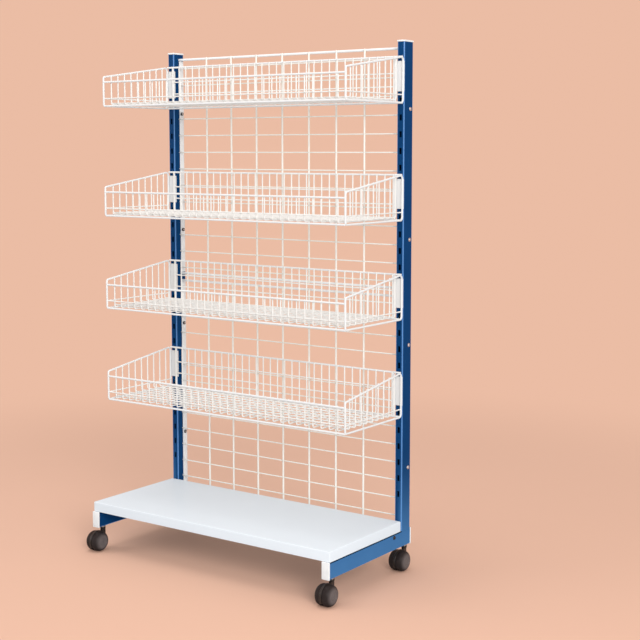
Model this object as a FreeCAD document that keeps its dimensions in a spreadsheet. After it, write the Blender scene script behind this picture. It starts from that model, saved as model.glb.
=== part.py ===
import FreeCAD, Part
import os
import re
import Sketcher

# Basket shelving unit: two slotted posts on castor legs, a deck, two mesh panels and four hook-on wire
# baskets. Millimetres, +Z up, front at -Y. The origin is on the floor, under the middle of the unit.

SIZES = {
    # posts and legs, all of one rectangular steel tube
    "bay_pitch": (912, "post centre to post centre"),
    "tube_width": (25, "tube size across the unit"),
    "tube_depth": (50, "tube size front to back, and the height of a leg"),
    "tube_wall": (1.5, "tube wall"),
    "tube_corner": (2.5, "outer corner radius of the tube"),
    "post_length": (1490, "post, from the leg to its top"),
    "leg_length": (435, "leg, front to back"),
    "leg_front": (-203.5, "place of the front end of the legs"),
    "slot_pitch": (50, "slot to slot"),
    "slot_width": (8, "slot width"),
    "slot_height": (18, "slot height"),
    "slot_drop": (74, "post top to the middle of the first slot"),
    "slot_base": (100, "least distance from the middle of the last slot to the leg"),
    # plastic plugs in the tube ends
    "cap_flange": (5, "thickness of a cap outside the tube"),
    "cap_over": (1, "flange of a cap past the tube, each side"),
    "cap_plug": (5, "length of a cap inside the tube"),
    "cap_edge": (1.5, "rounding of a cap"),
    "cap_fit": (0.1, "clearance of a plug in the tube"),
    # deck tray
    "deck_height": (32, "deck tray, edge to top"),
    "deck_sheet": (1.5, "deck sheet"),
    "deck_edge": (3, "rounding of the deck"),
    "deck_gap": (3, "deck to post"),
    "tab_width": (30, "deck tab, front to back"),
    "tab_drop": (28, "deck tab below the top of the leg"),
    "tab_setback": (42, "deck bolt in front of the posts"),
    "tab_bolt_drop": (10, "deck bolt below the top of the leg"),
    # mesh panels
    "mesh_setback": (18.5, "upright mesh wires behind the post front"),
    "mesh_upright": (6, "diameter of an upright mesh wire"),
    "mesh_wire": (4, "diameter of a level mesh wire"),
    "mesh_rod": (8, "diameter of a panel's edge rod"),
    "mesh_column": (105, "upright to upright"),
    "mesh_row": (56, "level wire to level wire"),
    "mesh_side_gap": (0.5, "mesh to post"),
    "column_count": (7, "upright wires in a panel"),
    "upper_rod_drop": (18, "post top to the upper panel's top rod"),
    "panel_height": (722, "rod to rod in the upper panel; the lower one fills the rest of the post"),
    "panel_seam": (25, "bottom rod of the upper panel to top rod of the lower"),
    "panel_base": (3, "bottom rod of the lower panel above the legs"),
    "upper_row_gap": (30, "top rod to the first level wire, upper panel"),
    "lower_row_gap": (68, "top rod to the first level wire, lower panel"),
    "row_margin": (10, "least distance from the last level wire to the bottom rod"),
    "side_bar_width": (20, "flat side bar of a panel, front to back"),
    "side_bar_thick": (3, "flat side bar of a panel"),
    # fixings
    "bolt_inset": (8.5, "panel bolts behind the front edge of a side bar"),
    "upper_bolt_1": (0.25, "share of the upper panel's height down to its first bolt"),
    "upper_bolt_2": (0.794, "share of the upper panel's height down to its second bolt"),
    "lower_bolt_1": (0.206, "share of the lower panel's height down to its first bolt"),
    "lower_bolt_2": (0.734, "share of the lower panel's height down to its second bolt"),
    "bolt_size": (6, "bolt diameter"),
    "bolt_hole": (6.5, "hole for a bolt"),
    "bolt_head": (12, "diameter of a bolt head"),
    "bolt_head_high": (3.5, "height of a bolt head"),
    "bolt_end": (1.5, "bolt showing past its nut"),
    "nut_across": (11.5, "nut, corner to corner"),
    "nut_high": (5, "nut height"),
    # baskets, measured between the middles of their rods
    "basket_over": (24, "basket, side to side, more than the posts' pitch"),
    "basket_depth": (302, "basket, front to back"),
    "basket_front": (92, "height of the sides at the front"),
    "basket_rear": (136, "height of the sides and the back at the rear"),
    "front_rail": (76, "height of the front panel"),
    "basket_rod": (6, "diameter of a frame rod"),
    "basket_wire": (4, "diameter of a wire"),
    "cells_across": (32, "wire spaces across the basket"),
    "cells_deep": (10, "wire spaces front to back"),
    "band_height": (24, "height of the wire round the front and sides"),
    "back_wire_1": (48, "height of the lower wire of the back"),
    "back_wire_2": (87, "height of the upper wire of the back"),
    "rim_gap": (0.5, "end of a sloping rim to the corner rod"),
    "basket_drop_1": (181, "post top to the bottom rods of the first basket"),
    "basket_2_slot_count": (7, "slots from the first basket down to the second"),
    "basket_3_slot_count": (13, "slots from the first basket down to the third"),
    "basket_4_slot_count": (19, "slots from the first basket down to the fourth"),
    # hook plates of the baskets
    "hook_plate": (3, "hook plate thickness"),
    "hook_gap": (0.5, "hook plate to post"),
    "hook_wide": (34, "hook plate width"),
    "hook_overhang": (2, "hook plate past the middle of the corner rod"),
    "hook_inner_rod": (27, "inner back upright from the corner rod"),
    "hook_high": (90, "hook plate height"),
    "hook_base": (34, "height of the lower edge of a hook plate"),
    "lug_thick": (4, "lug thickness"),
    "lug_arm": (9, "height of a lug in its slot"),
    "lug_nose": (3, "depth of the lug's nose behind the post wall"),
    "lug_drop": (5, "nose of a lug below its arm"),
    "lug_seat": (0.1, "lug above the lower edge of its slot"),
    "lug_gap": (0.4, "post wall to the nose of a lug"),
    # castors
    "wheel_radius": (32, "wheel radius"),
    "wheel_width": (22.5, "width of one wheel"),
    "wheel_round": (16, "rounding of a wheel's outer side"),
    "wheel_gap": (0.5, "wheel to housing"),
    "web_thick": (8, "housing between the wheels"),
    "web_rib": (2, "housing outside the wheels"),
    "web_clear": (14, "housing above the floor"),
    "axle_size": (8, "axle diameter"),
    "axle_fit": (0.05, "running clearance of a wheel on the axle, each side"),
    "axle_reach": (20, "axle inside each wheel"),
    "axle_end": (0.5, "end of the axle to the bottom of the wheel's bore"),
    "trail": (26, "axle in front of the stem"),
    "neck_low": (17, "height of the neck's underside above the axle"),
    "boss_size": (18, "boss diameter"),
    "boss_gap": (3, "boss above the wheels"),
    "boss_height": (7, "boss height"),
    "collar_size": (15, "stem collar diameter"),
    "collar_height": (2.2, "stem collar height"),
    "swivel_gap": (0.3, "stem collar to socket"),
    "stem_size": (11, "stem diameter"),
    "stem_seat": (4, "stem inside the boss"),
    "stem_reach": (33, "stem above the underside of the leg"),
    "stem_fit": (0.05, "running clearance of the stem, each side"),
    "socket_size": (16, "socket diameter"),
    "socket_flange": (1.5, "socket flange thickness"),
    "socket_flange_size": (20, "socket flange diameter"),
    "socket_length": (36, "socket inside the leg"),
    "front_stem": (27, "front stem behind the front end of the leg"),
    "rear_stem": (14, "rear stem in front of the rear end of the leg"),
}

# Places worked out from the sizes, as expressions of them
LEG_BASE = "(2 * wheel_radius + boss_gap + boss_height + collar_height + swivel_gap + socket_flange)"
LEG_TOP = f"({LEG_BASE} + tube_depth)"
POST_TOP = f"({LEG_TOP} + post_length)"
LEG_REAR = "(leg_front + leg_length)"
POST_FRONT = f"({LEG_REAR} - tube_depth)"
POST_INNER = "(bay_pitch / 2 - tube_width / 2)"
POST_OUTER = "(bay_pitch / 2 + tube_width / 2)"
MESH_LEVEL_Y = f"({POST_FRONT} + mesh_setback + mesh_upright / 2 + mesh_wire / 2)"
MESH_ROD_Y = f"({POST_FRONT} + mesh_setback + mesh_upright / 2 + mesh_rod / 2)"
SIDE_BAR_Y = f"({MESH_LEVEL_Y} + mesh_wire / 2)"
BOLT_Y = f"({SIDE_BAR_Y} + bolt_inset)"
DECK_BOLT_Y = f"({POST_FRONT} - tab_setback)"
BASKET_REAR_Y = f"({POST_FRONT} - hook_gap - hook_plate - basket_rod / 2)"
BASKET_FRONT_Y = f"({BASKET_REAR_Y} - basket_depth)"
BASKET_WIDTH = "(bay_pitch + basket_over)"
HALF_BASKET = f"({BASKET_WIDTH} / 2)"
RIM_SLOPE = "atan((basket_rear - basket_front) / basket_depth)"
SLOT_COUNT = "(floor((post_length - slot_drop - slot_base) / slot_pitch) + 1)"
LOWER_ROD_DROP = "(upper_rod_drop + panel_height + panel_seam)"
LOWER_HEIGHT = f"(post_length - panel_base - {LOWER_ROD_DROP})"
WEB_HALF = "(web_thick / 2)"
BOSS_BASE = "(2 * wheel_radius + boss_gap)"

# Each panel's top rod below the post top, height, first gap and bolts
PANELS = {
    "upper_panel": ("upper_rod_drop", "panel_height", "upper_row_gap", ("upper_bolt_1", "upper_bolt_2")),
    "lower_panel": (LOWER_ROD_DROP, LOWER_HEIGHT, "lower_row_gap", ("lower_bolt_1", "lower_bolt_2")),
}
SIDES = {"left": -1, "right": 1}
BASKETS = (1, 2, 3, 4)
TURN_TO_X = FreeCAD.Rotation(FreeCAD.Vector(0, 1, 0), 90)
TURN_TO_Y = FreeCAD.Rotation(FreeCAD.Vector(1, 0, 0), -90)
TURN = {"X": TURN_TO_X, "Y": TURN_TO_Y, "Z": FreeCAD.Rotation()}
THROUGH_ALL = "ThroughAll"

doc = FreeCAD.newDocument("basket_shelving_unit")
sheet = doc.addObject("Spreadsheet::Sheet", "Sizes")
for row, (alias, (value, note)) in enumerate(SIZES.items(), start=1):
    sheet.set(f"A{row}", note)
    sheet.set(f"B{row}", str(value))
    sheet.setAlias(f"B{row}", alias)
doc.recompute()

nodes = []


def size(alias):
    return float(sheet.get(alias))


def count(alias):
    return int(sheet.get(alias))


def value_of(expression):
    return float(sheet.evalExpression(text(expression)))


def text(expression):
    """Write an expression's size names as cells of the sheet."""
    def cell(match):
        word = match.group(0)
        return f"Sizes.{word}" if word in SIZES else word
    return re.sub(r"[a-z][a-z0-9_]*", cell, expression)


def bind(item, **expressions):
    for name, expression in expressions.items():
        item.setExpression(name, text(expression))


def place(item, x="0", y="0", z="0", turn=None):
    if turn:
        item.Placement = FreeCAD.Placement(FreeCAD.Vector(), turn)
    for axis, expression in zip("xyz", (x, y, z)):
        item.setExpression(f"Placement.Base.{axis}", text(expression))


def node(item, name):
    """Make an object one of the part's nodes."""
    item.Label = name
    nodes.append(item)
    return item


def rod(name, axis, diameter, length, x, y, z):
    """A round rod along X, Y or Z, from the given end."""
    item = doc.addObject("Part::Cylinder", name)
    bind(item, Radius=f"({diameter}) / 2", Height=length)
    place(item, x, y, z, TURN[axis])
    return item


def block(name, length, width, height, x, y, z):
    """A box from its lowest corner."""
    item = doc.addObject("Part::Box", name)
    bind(item, Length=length, Width=width, Height=height)
    place(item, x, y, z)
    return item


def joined(name, *items):
    whole = doc.addObject("Part::MultiFuse", name)
    whole.Shapes = list(items)
    whole.Refine = True
    return whole


def cut(name, base, tool):
    rest = doc.addObject("Part::Cut", name)
    rest.Base = base
    rest.Tool = tool
    return rest


def group(name, items):
    """Several solids as one node."""
    whole = doc.addObject("Part::Compound", f"{name}_group")
    whole.Links = items
    return node(whole, name)


def new_body(name, x, y, z, turn=None):
    body = doc.addObject("PartDesign::Body", f"{name}_body")
    place(body, x, y, z, turn)
    return body


def new_sketch(body, name, role, offset="0"):
    """A sketch on one of its body's origin planes, moved along the plane's normal."""
    sketch = body.newObject("Sketcher::SketchObject", name)
    plane = next(item for item in body.Origin.OriginFeatures if item.Role == role)
    sketch.AttachmentSupport = [(plane, "")]
    sketch.MapMode = "FlatFace"
    sketch.setExpression("AttachmentOffset.Base.z", text(offset))
    return sketch


def draw_rectangle(sketch, tag, width, height, x=None, y=None):
    """A rectangle about the origin, or about a point to its upper right."""
    half_width = 10
    half_height = 10
    corners = [(-half_width, -half_height), (half_width, -half_height),
               (half_width, half_height), (-half_width, half_height)]
    points = [FreeCAD.Vector(a, b, 0) for a, b in corners]
    first = len(sketch.Geometry)
    for index in range(4):
        sketch.addGeometry(Part.LineSegment(points[index], points[(index + 1) % 4]), False)
    for index in range(4):
        following = first + (index + 1) % 4
        sketch.addConstraint(Sketcher.Constraint("Coincident", first + index, 2, following, 1))
        kind = "Horizontal" if index % 2 == 0 else "Vertical"
        sketch.addConstraint(Sketcher.Constraint(kind, first + index))
    if x is None and y is None:
        sketch.addConstraint(Sketcher.Constraint("Symmetric", first, 1, first + 1, 2, -1, 1))
    else:
        middle = len(sketch.Geometry)
        sketch.addGeometry(Part.Point(FreeCAD.Vector(0, 0, 0)), True)
        sketch.addConstraint(Sketcher.Constraint("Symmetric", first, 1, first + 1, 2, middle, 1))
        set_point(sketch, tag, middle, 1, x, y)
    set_distance(sketch, f"{tag}_width", width, "DistanceX", first, 1, first, 2)
    set_distance(sketch, f"{tag}_height", height, "DistanceY", first + 1, 1, first + 1, 2)


def draw_circle(sketch, tag, diameter, x=None, y=None):
    index = sketch.addGeometry(Part.Circle(FreeCAD.Vector(1, 1, 0), FreeCAD.Vector(0, 0, 1), 2), False)
    set_point(sketch, tag, index, 3, x, y)
    number = sketch.addConstraint(Sketcher.Constraint("Diameter", index, 4))
    sketch.renameConstraint(number, f"{tag}_diameter")
    sketch.setExpression(f"Constraints.{tag}_diameter", text(diameter))


def set_point(sketch, tag, geometry, position, x, y):
    """Hold a point on the origin's axes, or at a distance from them; a leading minus is the other side."""
    for kind, axis, expression in (("DistanceX", -2, x), ("DistanceY", -1, y)):
        if expression is None:
            sketch.addConstraint(Sketcher.Constraint("PointOnObject", geometry, position, axis))
        elif expression.startswith("-"):
            set_distance(sketch, f"{tag}_{kind}", expression[1:], kind, geometry, position, -1, 1)
        else:
            set_distance(sketch, f"{tag}_{kind}", expression, kind, -1, 1, geometry, position)


def set_distance(sketch, tag, expression, kind, *ends):
    number = sketch.addConstraint(Sketcher.Constraint(kind, *ends, 10.0))
    sketch.renameConstraint(number, tag)
    sketch.setExpression(f"Constraints.{tag}", text(expression))


def add_pad(body, name, sketch, length):
    pad = body.newObject("PartDesign::Pad", name)
    pad.Profile = sketch
    bind(pad, Length=length)
    doc.recompute()
    return pad


def add_pocket(body, name, sketch, length=None, reverse=False):
    """A pocket of a given depth, or through everything on both sides of its sketch."""
    pocket = body.newObject("PartDesign::Pocket", name)
    pocket.Profile = sketch
    if length is None:
        pocket.Type = THROUGH_ALL
        pocket.Midplane = True
    else:
        bind(pocket, Length=length)
        pocket.Reversed = reverse
    before = body.Shape.Volume
    doc.recompute()
    if body.Shape.Volume >= before:
        raise RuntimeError(f"{name} cuts nothing")
    return pocket


def add_fillet(body, name, base, radius, wanted):
    """Round the edges of a feature that the test picks."""
    edges = [f"Edge{i}" for i, edge in enumerate(base.Shape.Edges, start=1) if wanted(edge)]
    fillet = body.newObject("PartDesign::Fillet", name)
    fillet.Base = (base, edges)
    bind(fillet, Radius=radius)
    doc.recompute()
    return fillet


def along_z(edge):
    ends = [vertex.Point for vertex in edge.Vertexes]
    return len(ends) == 2 and (ends[1] - ends[0]).cross(FreeCAD.Vector(0, 0, 1)).Length < 1e-6


def add_tube(body, name, length):
    """The rectangular tube that posts and legs are cut from, along its body's Z."""
    outline = new_sketch(body, f"{name}_outline", "XY_Plane")
    draw_rectangle(outline, "tube", "tube_width", "tube_depth")
    bar = add_pad(body, f"{name}_bar", outline, length)
    add_fillet(body, f"{name}_corners", bar, "tube_corner", along_z)
    inside = new_sketch(body, f"{name}_inside", "XY_Plane")
    draw_rectangle(inside, "bore", "tube_width - 2 * tube_wall", "tube_depth - 2 * tube_wall")
    add_pocket(body, f"{name}_bore", inside, length, reverse=True)


def bolt_drops():
    """How far below the post top each panel bolt is."""
    drops = {}
    for rod_drop, height, _, bolts in PANELS.values():
        for bolt in bolts:
            drops[bolt] = f"({rod_drop} + {bolt} * {height})"
    return drops


def make_post(side):
    name = f"{side}_post"
    body = new_body(name, f"{SIDES[side]} * bay_pitch / 2", f"{POST_FRONT} + tube_depth / 2", LEG_TOP)
    add_tube(body, name, "post_length")
    slot = new_sketch(body, f"{name}_slot", "XZ_Plane", "tube_depth / 2 + tube_wall")
    draw_rectangle(slot, "slot", "slot_width", "slot_height", y="post_length - slot_drop")
    first = add_pocket(body, f"{name}_first_slot", slot, "3 * tube_wall")
    column = body.newObject("PartDesign::LinearPattern", f"{name}_slots")
    column.Originals = [first]
    column.Direction = (slot, ["V_Axis"])
    column.Reversed = True
    bind(column, Length=f"({SLOT_COUNT} - 1) * slot_pitch", Occurrences=SLOT_COUNT)
    body.Tip = column
    doc.recompute()
    holes = new_sketch(body, f"{name}_holes", "YZ_Plane")
    for bolt, drop in bolt_drops().items():
        draw_circle(holes, bolt, "bolt_hole", f"{BOLT_Y} - {POST_FRONT} - tube_depth / 2",
                    f"post_length - {drop}")
    add_pocket(body, f"{name}_bolt_holes", holes)
    node(body, name)


def make_leg(side):
    name = f"{side}_leg"
    x = f"{SIDES[side]} * bay_pitch / 2"
    body = new_body(name, x, "leg_front", f"{LEG_BASE} + tube_depth / 2", TURN_TO_Y)
    add_tube(body, name, "leg_length")
    under = new_sketch(body, f"{name}_under", "XZ_Plane", "-(tube_depth / 2 + tube_wall)")
    draw_circle(under, "front", "socket_size", y="front_stem")
    draw_circle(under, "rear", "socket_size", y="leg_length - rear_stem")
    add_pocket(body, f"{name}_socket_holes", under, "3 * tube_wall", reverse=True)
    bolt = new_sketch(body, f"{name}_bolt", "YZ_Plane")
    along = "leg_length - tube_depth - tab_setback"
    draw_circle(bolt, "bolt", "bolt_hole", "-(tube_depth / 2 - tab_bolt_drop)", along)
    add_pocket(body, f"{name}_bolt_hole", bolt)
    node(body, name)


def cap(name, x, y, z, outward):
    """A tube end's plug; outward is +Z on a post, and +Y or -Y on a leg."""
    flange = ["tube_width + 2 * cap_over", "tube_depth + 2 * cap_over", "cap_flange"]
    inner = "2 * (tube_wall + cap_fit)"
    plug = [f"tube_width - {inner}", f"tube_depth - {inner}", "cap_plug"]
    centres = {"Z": ("cap_flange / 2", "-cap_plug / 2"), "Y": ("cap_flange / 2", "-cap_plug / 2"),
               "-Y": ("-cap_flange / 2", "cap_plug / 2")}[outward]
    pieces = []
    for tag, sides, shift in (("flange", flange, centres[0]), ("plug", plug, centres[1])):
        wide, deep, long = sides
        if outward == "Z":
            corner = (f"{x} - ({wide}) / 2", f"{y} - ({deep}) / 2", f"{z} + {shift} - ({long}) / 2")
            pieces.append(block(f"{name}_{tag}", wide, deep, long, *corner))
        else:
            corner = (f"{x} - ({wide}) / 2", f"{y} + {shift} - ({long}) / 2", f"{z} - ({deep}) / 2")
            pieces.append(block(f"{name}_{tag}", wide, long, deep, *corner))
    doc.recompute()
    face_axis = "z" if outward == "Z" else "y"
    faces = [getattr(edge.CenterOfMass, face_axis) for edge in pieces[0].Shape.Edges]
    far = min(faces) if outward == "-Y" else max(faces)
    rounded = doc.addObject("Part::Fillet", f"{name}_rounded")
    rounded.Base = pieces[0]
    picked = [i for i, place_on in enumerate(faces, start=1) if abs(place_on - far) < 1e-6]
    rounded.Edges = [(i, size("cap_edge"), size("cap_edge")) for i in picked]
    return joined(name, rounded, pieces[1])


def make_caps():
    tops = []
    ends = []
    for side, sign in SIDES.items():
        x = f"{sign} * bay_pitch / 2"
        tops.append(cap(f"{side}_post_cap", x, f"{POST_FRONT} + tube_depth / 2", POST_TOP, "Z"))
        middle = f"{LEG_BASE} + tube_depth / 2"
        ends.append(cap(f"{side}_front_cap", x, "leg_front", middle, "-Y"))
        ends.append(cap(f"{side}_rear_cap", x, LEG_REAR, middle, "Y"))
    group("post_caps", tops)
    group("leg_caps", ends)


def make_deck():
    depth = f"({POST_FRONT} - deck_gap - leg_front)"
    body = new_body("deck", "0", f"leg_front + {depth} / 2", LEG_TOP)
    outline = new_sketch(body, "deck_outline", "XY_Plane")
    draw_rectangle(outline, "deck", "bay_pitch + tube_width", depth)
    tray = add_pad(body, "deck_tray", outline, "deck_height")
    add_fillet(body, "deck_edges", tray, "deck_edge", lambda edge: edge.CenterOfMass.z > 1e-6)
    inside = new_sketch(body, "deck_inside", "XY_Plane")
    draw_rectangle(inside, "hollow", "bay_pitch + tube_width - 2 * deck_sheet", f"{depth} - 2 * deck_sheet")
    add_pocket(body, "deck_hollow", inside, "deck_height - deck_sheet", reverse=True)
    tabs = new_sketch(body, "deck_tabs", "XY_Plane", "-tab_drop")
    back = f"{depth} / 2 + deck_gap - tab_setback"
    for side, sign in SIDES.items():
        across = f"{POST_INNER} - deck_sheet / 2"
        draw_rectangle(tabs, side, "deck_sheet", "tab_width", across if sign > 0 else f"-({across})", back)
    add_pad(body, "deck_tab_plates", tabs, "tab_drop + deck_height - deck_sheet")
    holes = new_sketch(body, "deck_holes", "YZ_Plane")
    draw_circle(holes, "bolt", "bolt_hole", back, "-tab_bolt_drop")
    add_pocket(body, "deck_bolt_holes", holes)
    node(body, "deck")


def make_panel(name):
    """One mesh panel: edge rods, upright and level wires, and side bars bolted to the posts."""
    rod_drop, panel_height, row_gap, bolts = PANELS[name]
    rod_top = f"({POST_TOP} - {rod_drop})"
    rod_base = f"({rod_top} - {panel_height})"
    reach = f"({POST_INNER} - mesh_side_gap)"
    span = f"2 * {reach}"
    start = f"-{reach}"
    rods = []
    for tag, height in (("top", rod_top), ("bottom", rod_base)):
        rods.append(rod(f"{name}_{tag}_rod", "X", "mesh_rod", span, start, MESH_ROD_Y, height))
    group(f"{name}_rods", rods)
    uprights = []
    middle = (count("column_count") - 1) / 2
    tall = f"{panel_height} + mesh_rod"
    low = f"{rod_base} - mesh_rod / 2"
    for column in range(count("column_count")):
        x = f"{column - middle} * mesh_column"
        y = f"{POST_FRONT} + mesh_setback"
        uprights.append(rod(f"{name}_upright_{column}", "Z", "mesh_upright", tall, x, y, low))
    group(f"{name}_uprights", uprights)
    rows = []
    row_steps = int(value_of(f"floor(({panel_height} - {row_gap} - row_margin) / mesh_row)"))
    for row_number in range(row_steps + 1):
        z = f"{rod_top} - {row_gap} - {row_number} * mesh_row"
        rows.append(rod(f"{name}_row_{row_number}", "X", "mesh_wire", span, start, MESH_LEVEL_Y, z))
    group(f"{name}_rows", rows)
    bars = []
    for side, sign in SIDES.items():
        x = POST_INNER + " - side_bar_thick" if sign > 0 else f"-{POST_INNER}"
        low = f"{rod_base} + mesh_rod / 2"
        bar = block(f"{name}_{side}_bar", "side_bar_thick", "side_bar_width", f"{panel_height} - mesh_rod",
                    x, SIDE_BAR_Y, low)
        holes = []
        for bolt in bolts:
            z = f"{POST_TOP} - {bolt_drops()[bolt]}"
            tag = f"{side}_{bolt}_hole"
            holes.append(rod(tag, "X", "bolt_hole", "side_bar_thick", x, BOLT_Y, z))
        bars.append(cut(f"{name}_{side}_side_bar", bar, joined(f"{name}_{side}_holes", *holes)))
    group(f"{name}_side_bars", bars)


def bolt_and_nut(name, sign, grip, y, z):
    """A bolt through a tube from its outer side, and its nut on the inner side."""
    outer = f"({sign} * {POST_OUTER})"
    long = f"({grip} + nut_high + bolt_end)"
    start = f"{outer} - {long}" if sign > 0 else outer
    shank = rod(f"{name}_shank", "X", "bolt_size", long, start, y, z)
    head_at = outer if sign > 0 else f"{outer} - bolt_head_high"
    head = rod(f"{name}_head", "X", "bolt_head", "bolt_head_high", head_at, y, z)
    hexagon = doc.addObject("Part::Prism", f"{name}_hexagon")
    hexagon.Polygon = 6
    bind(hexagon, Circumradius="nut_across / 2", Height="nut_high")
    nut_at = f"{outer} - {grip} - nut_high" if sign > 0 else f"{outer} + {grip}"
    place(hexagon, nut_at, y, z, TURN_TO_X)
    thread = rod(f"{name}_thread", "X", "bolt_size", "nut_high", nut_at, y, z)
    return joined(f"{name}_bolt", shank, head), cut(f"{name}_nut", hexagon, thread)


def make_fixings():
    panel_bolts = []
    deck_bolts = []
    nuts = []
    for side, sign in SIDES.items():
        for tag, drop in bolt_drops().items():
            grip = "(tube_width + side_bar_thick)"
            bolt, nut = bolt_and_nut(f"{side}_{tag}", sign, grip, BOLT_Y, f"{POST_TOP} - {drop}")
            panel_bolts.append(bolt)
            nuts.append(nut)
        z = f"{LEG_TOP} - tab_bolt_drop"
        bolt, nut = bolt_and_nut(f"{side}_deck", sign, "(tube_width + deck_sheet)", DECK_BOLT_Y, z)
        deck_bolts.append(bolt)
        nuts.append(nut)
    group("panel_bolts", panel_bolts)
    group("deck_bolts", deck_bolts)
    group("nuts", nuts)


def make_basket(number, level):
    """A welded wire basket; level is the height of the middles of its bottom rods."""
    name = f"basket_{number}"
    wire = "basket_wire"
    bar = "basket_rod"
    rod_half = "basket_rod / 2"
    span = f"({BASKET_WIDTH} - basket_rod)"
    start = f"-{span} / 2"
    front = BASKET_FRONT_Y
    rear = BASKET_REAR_Y

    frame = []
    for tag, y, z in (("front_bottom", front, level), ("back_bottom", rear, level),
                      ("front_rail", front, f"{level} + front_rail"),
                      ("back_rim", rear, f"{level} + basket_rear")):
        frame.append(rod(f"{name}_{tag}", "X", bar, span, start, y, z))
    for side, sign in SIDES.items():
        x = f"{sign} * {HALF_BASKET}"
        tag = f"{name}_{side}"
        low = f"{level} + {rod_half}"
        frame.append(rod(f"{tag}_bottom", "Y", bar, "basket_depth + basket_rod",
                         x, f"{front} - {rod_half}", level))
        frame.append(rod(f"{tag}_front_corner", "Z", bar, "basket_front", x, front, low))
        frame.append(rod(f"{tag}_rear_corner", "Z", bar, "basket_rear", x, rear, low))
        inner = f"{sign} * ({HALF_BASKET} - hook_inner_rod)"
        frame.append(rod(f"{tag}_inner_upright", "Z", bar, "basket_rear - basket_rod", inner, rear, low))
        inset = f"({rod_half} + rim_gap)"
        rise = f"{inset} * (basket_rear - basket_front) / basket_depth"
        rim = rod(f"{tag}_rim", "Y", bar, f"(basket_depth - 2 * {inset}) / cos({RIM_SLOPE})", x,
                  f"{front} + {inset}", f"{level} + basket_front + {rise}")
        rim.setExpression("Placement.Rotation.Angle", text(f"{RIM_SLOPE} - 90 deg"))
        frame.append(rim)
    group(f"{name}_frame", frame)

    inset = f"({rod_half} + basket_wire)"
    floor_wires = []
    front_wires = []
    back_wires = []
    low = f"{level} + {rod_half}"
    across = count("cells_across")
    for column in range(1, across):
        x = f"{column - across / 2} * {BASKET_WIDTH} / cells_across"
        floor_wires.append(rod(f"{name}_floor_{column}", "Y", wire, f"basket_depth - 2 * {inset}", x,
                               f"{front} + {inset}", f"{low} + basket_wire / 2"))
        front_wires.append(rod(f"{name}_front_{column}", "Z", wire, "front_rail", x,
                               f"{front} + {rod_half} + basket_wire / 2", low))
        back_wires.append(rod(f"{name}_back_{column}", "Z", wire, "basket_rear", x,
                              f"{rear} - {rod_half} - basket_wire / 2", low))
    side_wires = []
    for line in range(1, count("cells_deep")):
        y = f"{front} + {line} * basket_depth / cells_deep"
        floor_wires.append(rod(f"{name}_cross_{line}", "X", wire, f"{BASKET_WIDTH} - 2 * {inset}",
                               f"-({HALF_BASKET} - {inset})", y, f"{low} + 3 * basket_wire / 2"))
        rim_height = f"basket_front + {line} * (basket_rear - basket_front) / cells_deep"
        for side, sign in SIDES.items():
            x = f"{sign} * ({HALF_BASKET} - {rod_half} - basket_wire / 2)"
            side_wires.append(rod(f"{name}_{side}_{line}", "Z", wire, rim_height, x, y, low))
    band = f"{level} + band_height"
    front_wires.append(rod(f"{name}_front_band", "X", wire, span, start,
                           f"{front} + {rod_half} - basket_wire / 2", band))
    for side, sign in SIDES.items():
        x = f"{sign} * ({HALF_BASKET} - {rod_half} + basket_wire / 2)"
        side_wires.append(rod(f"{name}_{side}_band", "Y", wire, "basket_depth - basket_rod", x,
                              f"{front} + {rod_half}", band))
    inner_span = f"({BASKET_WIDTH} - 2 * hook_inner_rod - basket_rod)"
    for tag in ("back_wire_1", "back_wire_2"):
        back_wires.append(rod(f"{name}_{tag}", "X", wire, inner_span, f"-{inner_span} / 2",
                              f"{rear} - {rod_half} + basket_wire / 2", f"{level} + {tag}"))
    group(f"{name}_floor_wires", floor_wires)
    group(f"{name}_front_wires", front_wires)
    group(f"{name}_back_wires", back_wires)
    group(f"{name}_side_wires", side_wires)
    group(f"{name}_hooks", [hook(f"{name}_{side}_hook", sign, level) for side, sign in SIDES.items()])


def hook(name, sign, level):
    """A basket's hook plate, with two lugs that reach through the post's slots and drop behind its wall."""
    outer = f"({HALF_BASKET} + hook_overhang)"
    plate_x = f"{outer} - hook_wide" if sign > 0 else f"-{outer}"
    plate_y = f"{POST_FRONT} - hook_gap - hook_plate"
    plate = block(f"{name}_plate", "hook_wide", "hook_plate", "hook_high",
                  plate_x, plate_y, f"{level} + hook_base")
    pieces = [plate]
    lug_x = f"{sign} * bay_pitch / 2 - lug_thick / 2"
    arm_long = "hook_gap + tube_wall + lug_gap + lug_nose"
    for number in range(2):
        slot = f"({POST_TOP} - slot_drop - {number} * slot_pitch)"
        below = f"({level} - ({POST_TOP} - basket_drop_1))"
        seat = f"({slot} + {below} - slot_height / 2 + lug_seat)"
        pieces.append(block(f"{name}_arm_{number}", "lug_thick", arm_long, "lug_arm",
                            lug_x, f"{POST_FRONT} - hook_gap", seat))
        pieces.append(block(f"{name}_nose_{number}", "lug_thick", "lug_nose", "lug_drop",
                            lug_x, f"{POST_FRONT} + tube_wall + lug_gap", f"{seat} - lug_drop"))
    return joined(name, *pieces)


def make_baskets():
    for number in BASKETS:
        level = f"({POST_TOP} - basket_drop_1)"
        if number > 1:
            level = f"({POST_TOP} - basket_drop_1 - basket_{number}_slot_count * slot_pitch)"
        make_basket(number, level)


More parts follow.
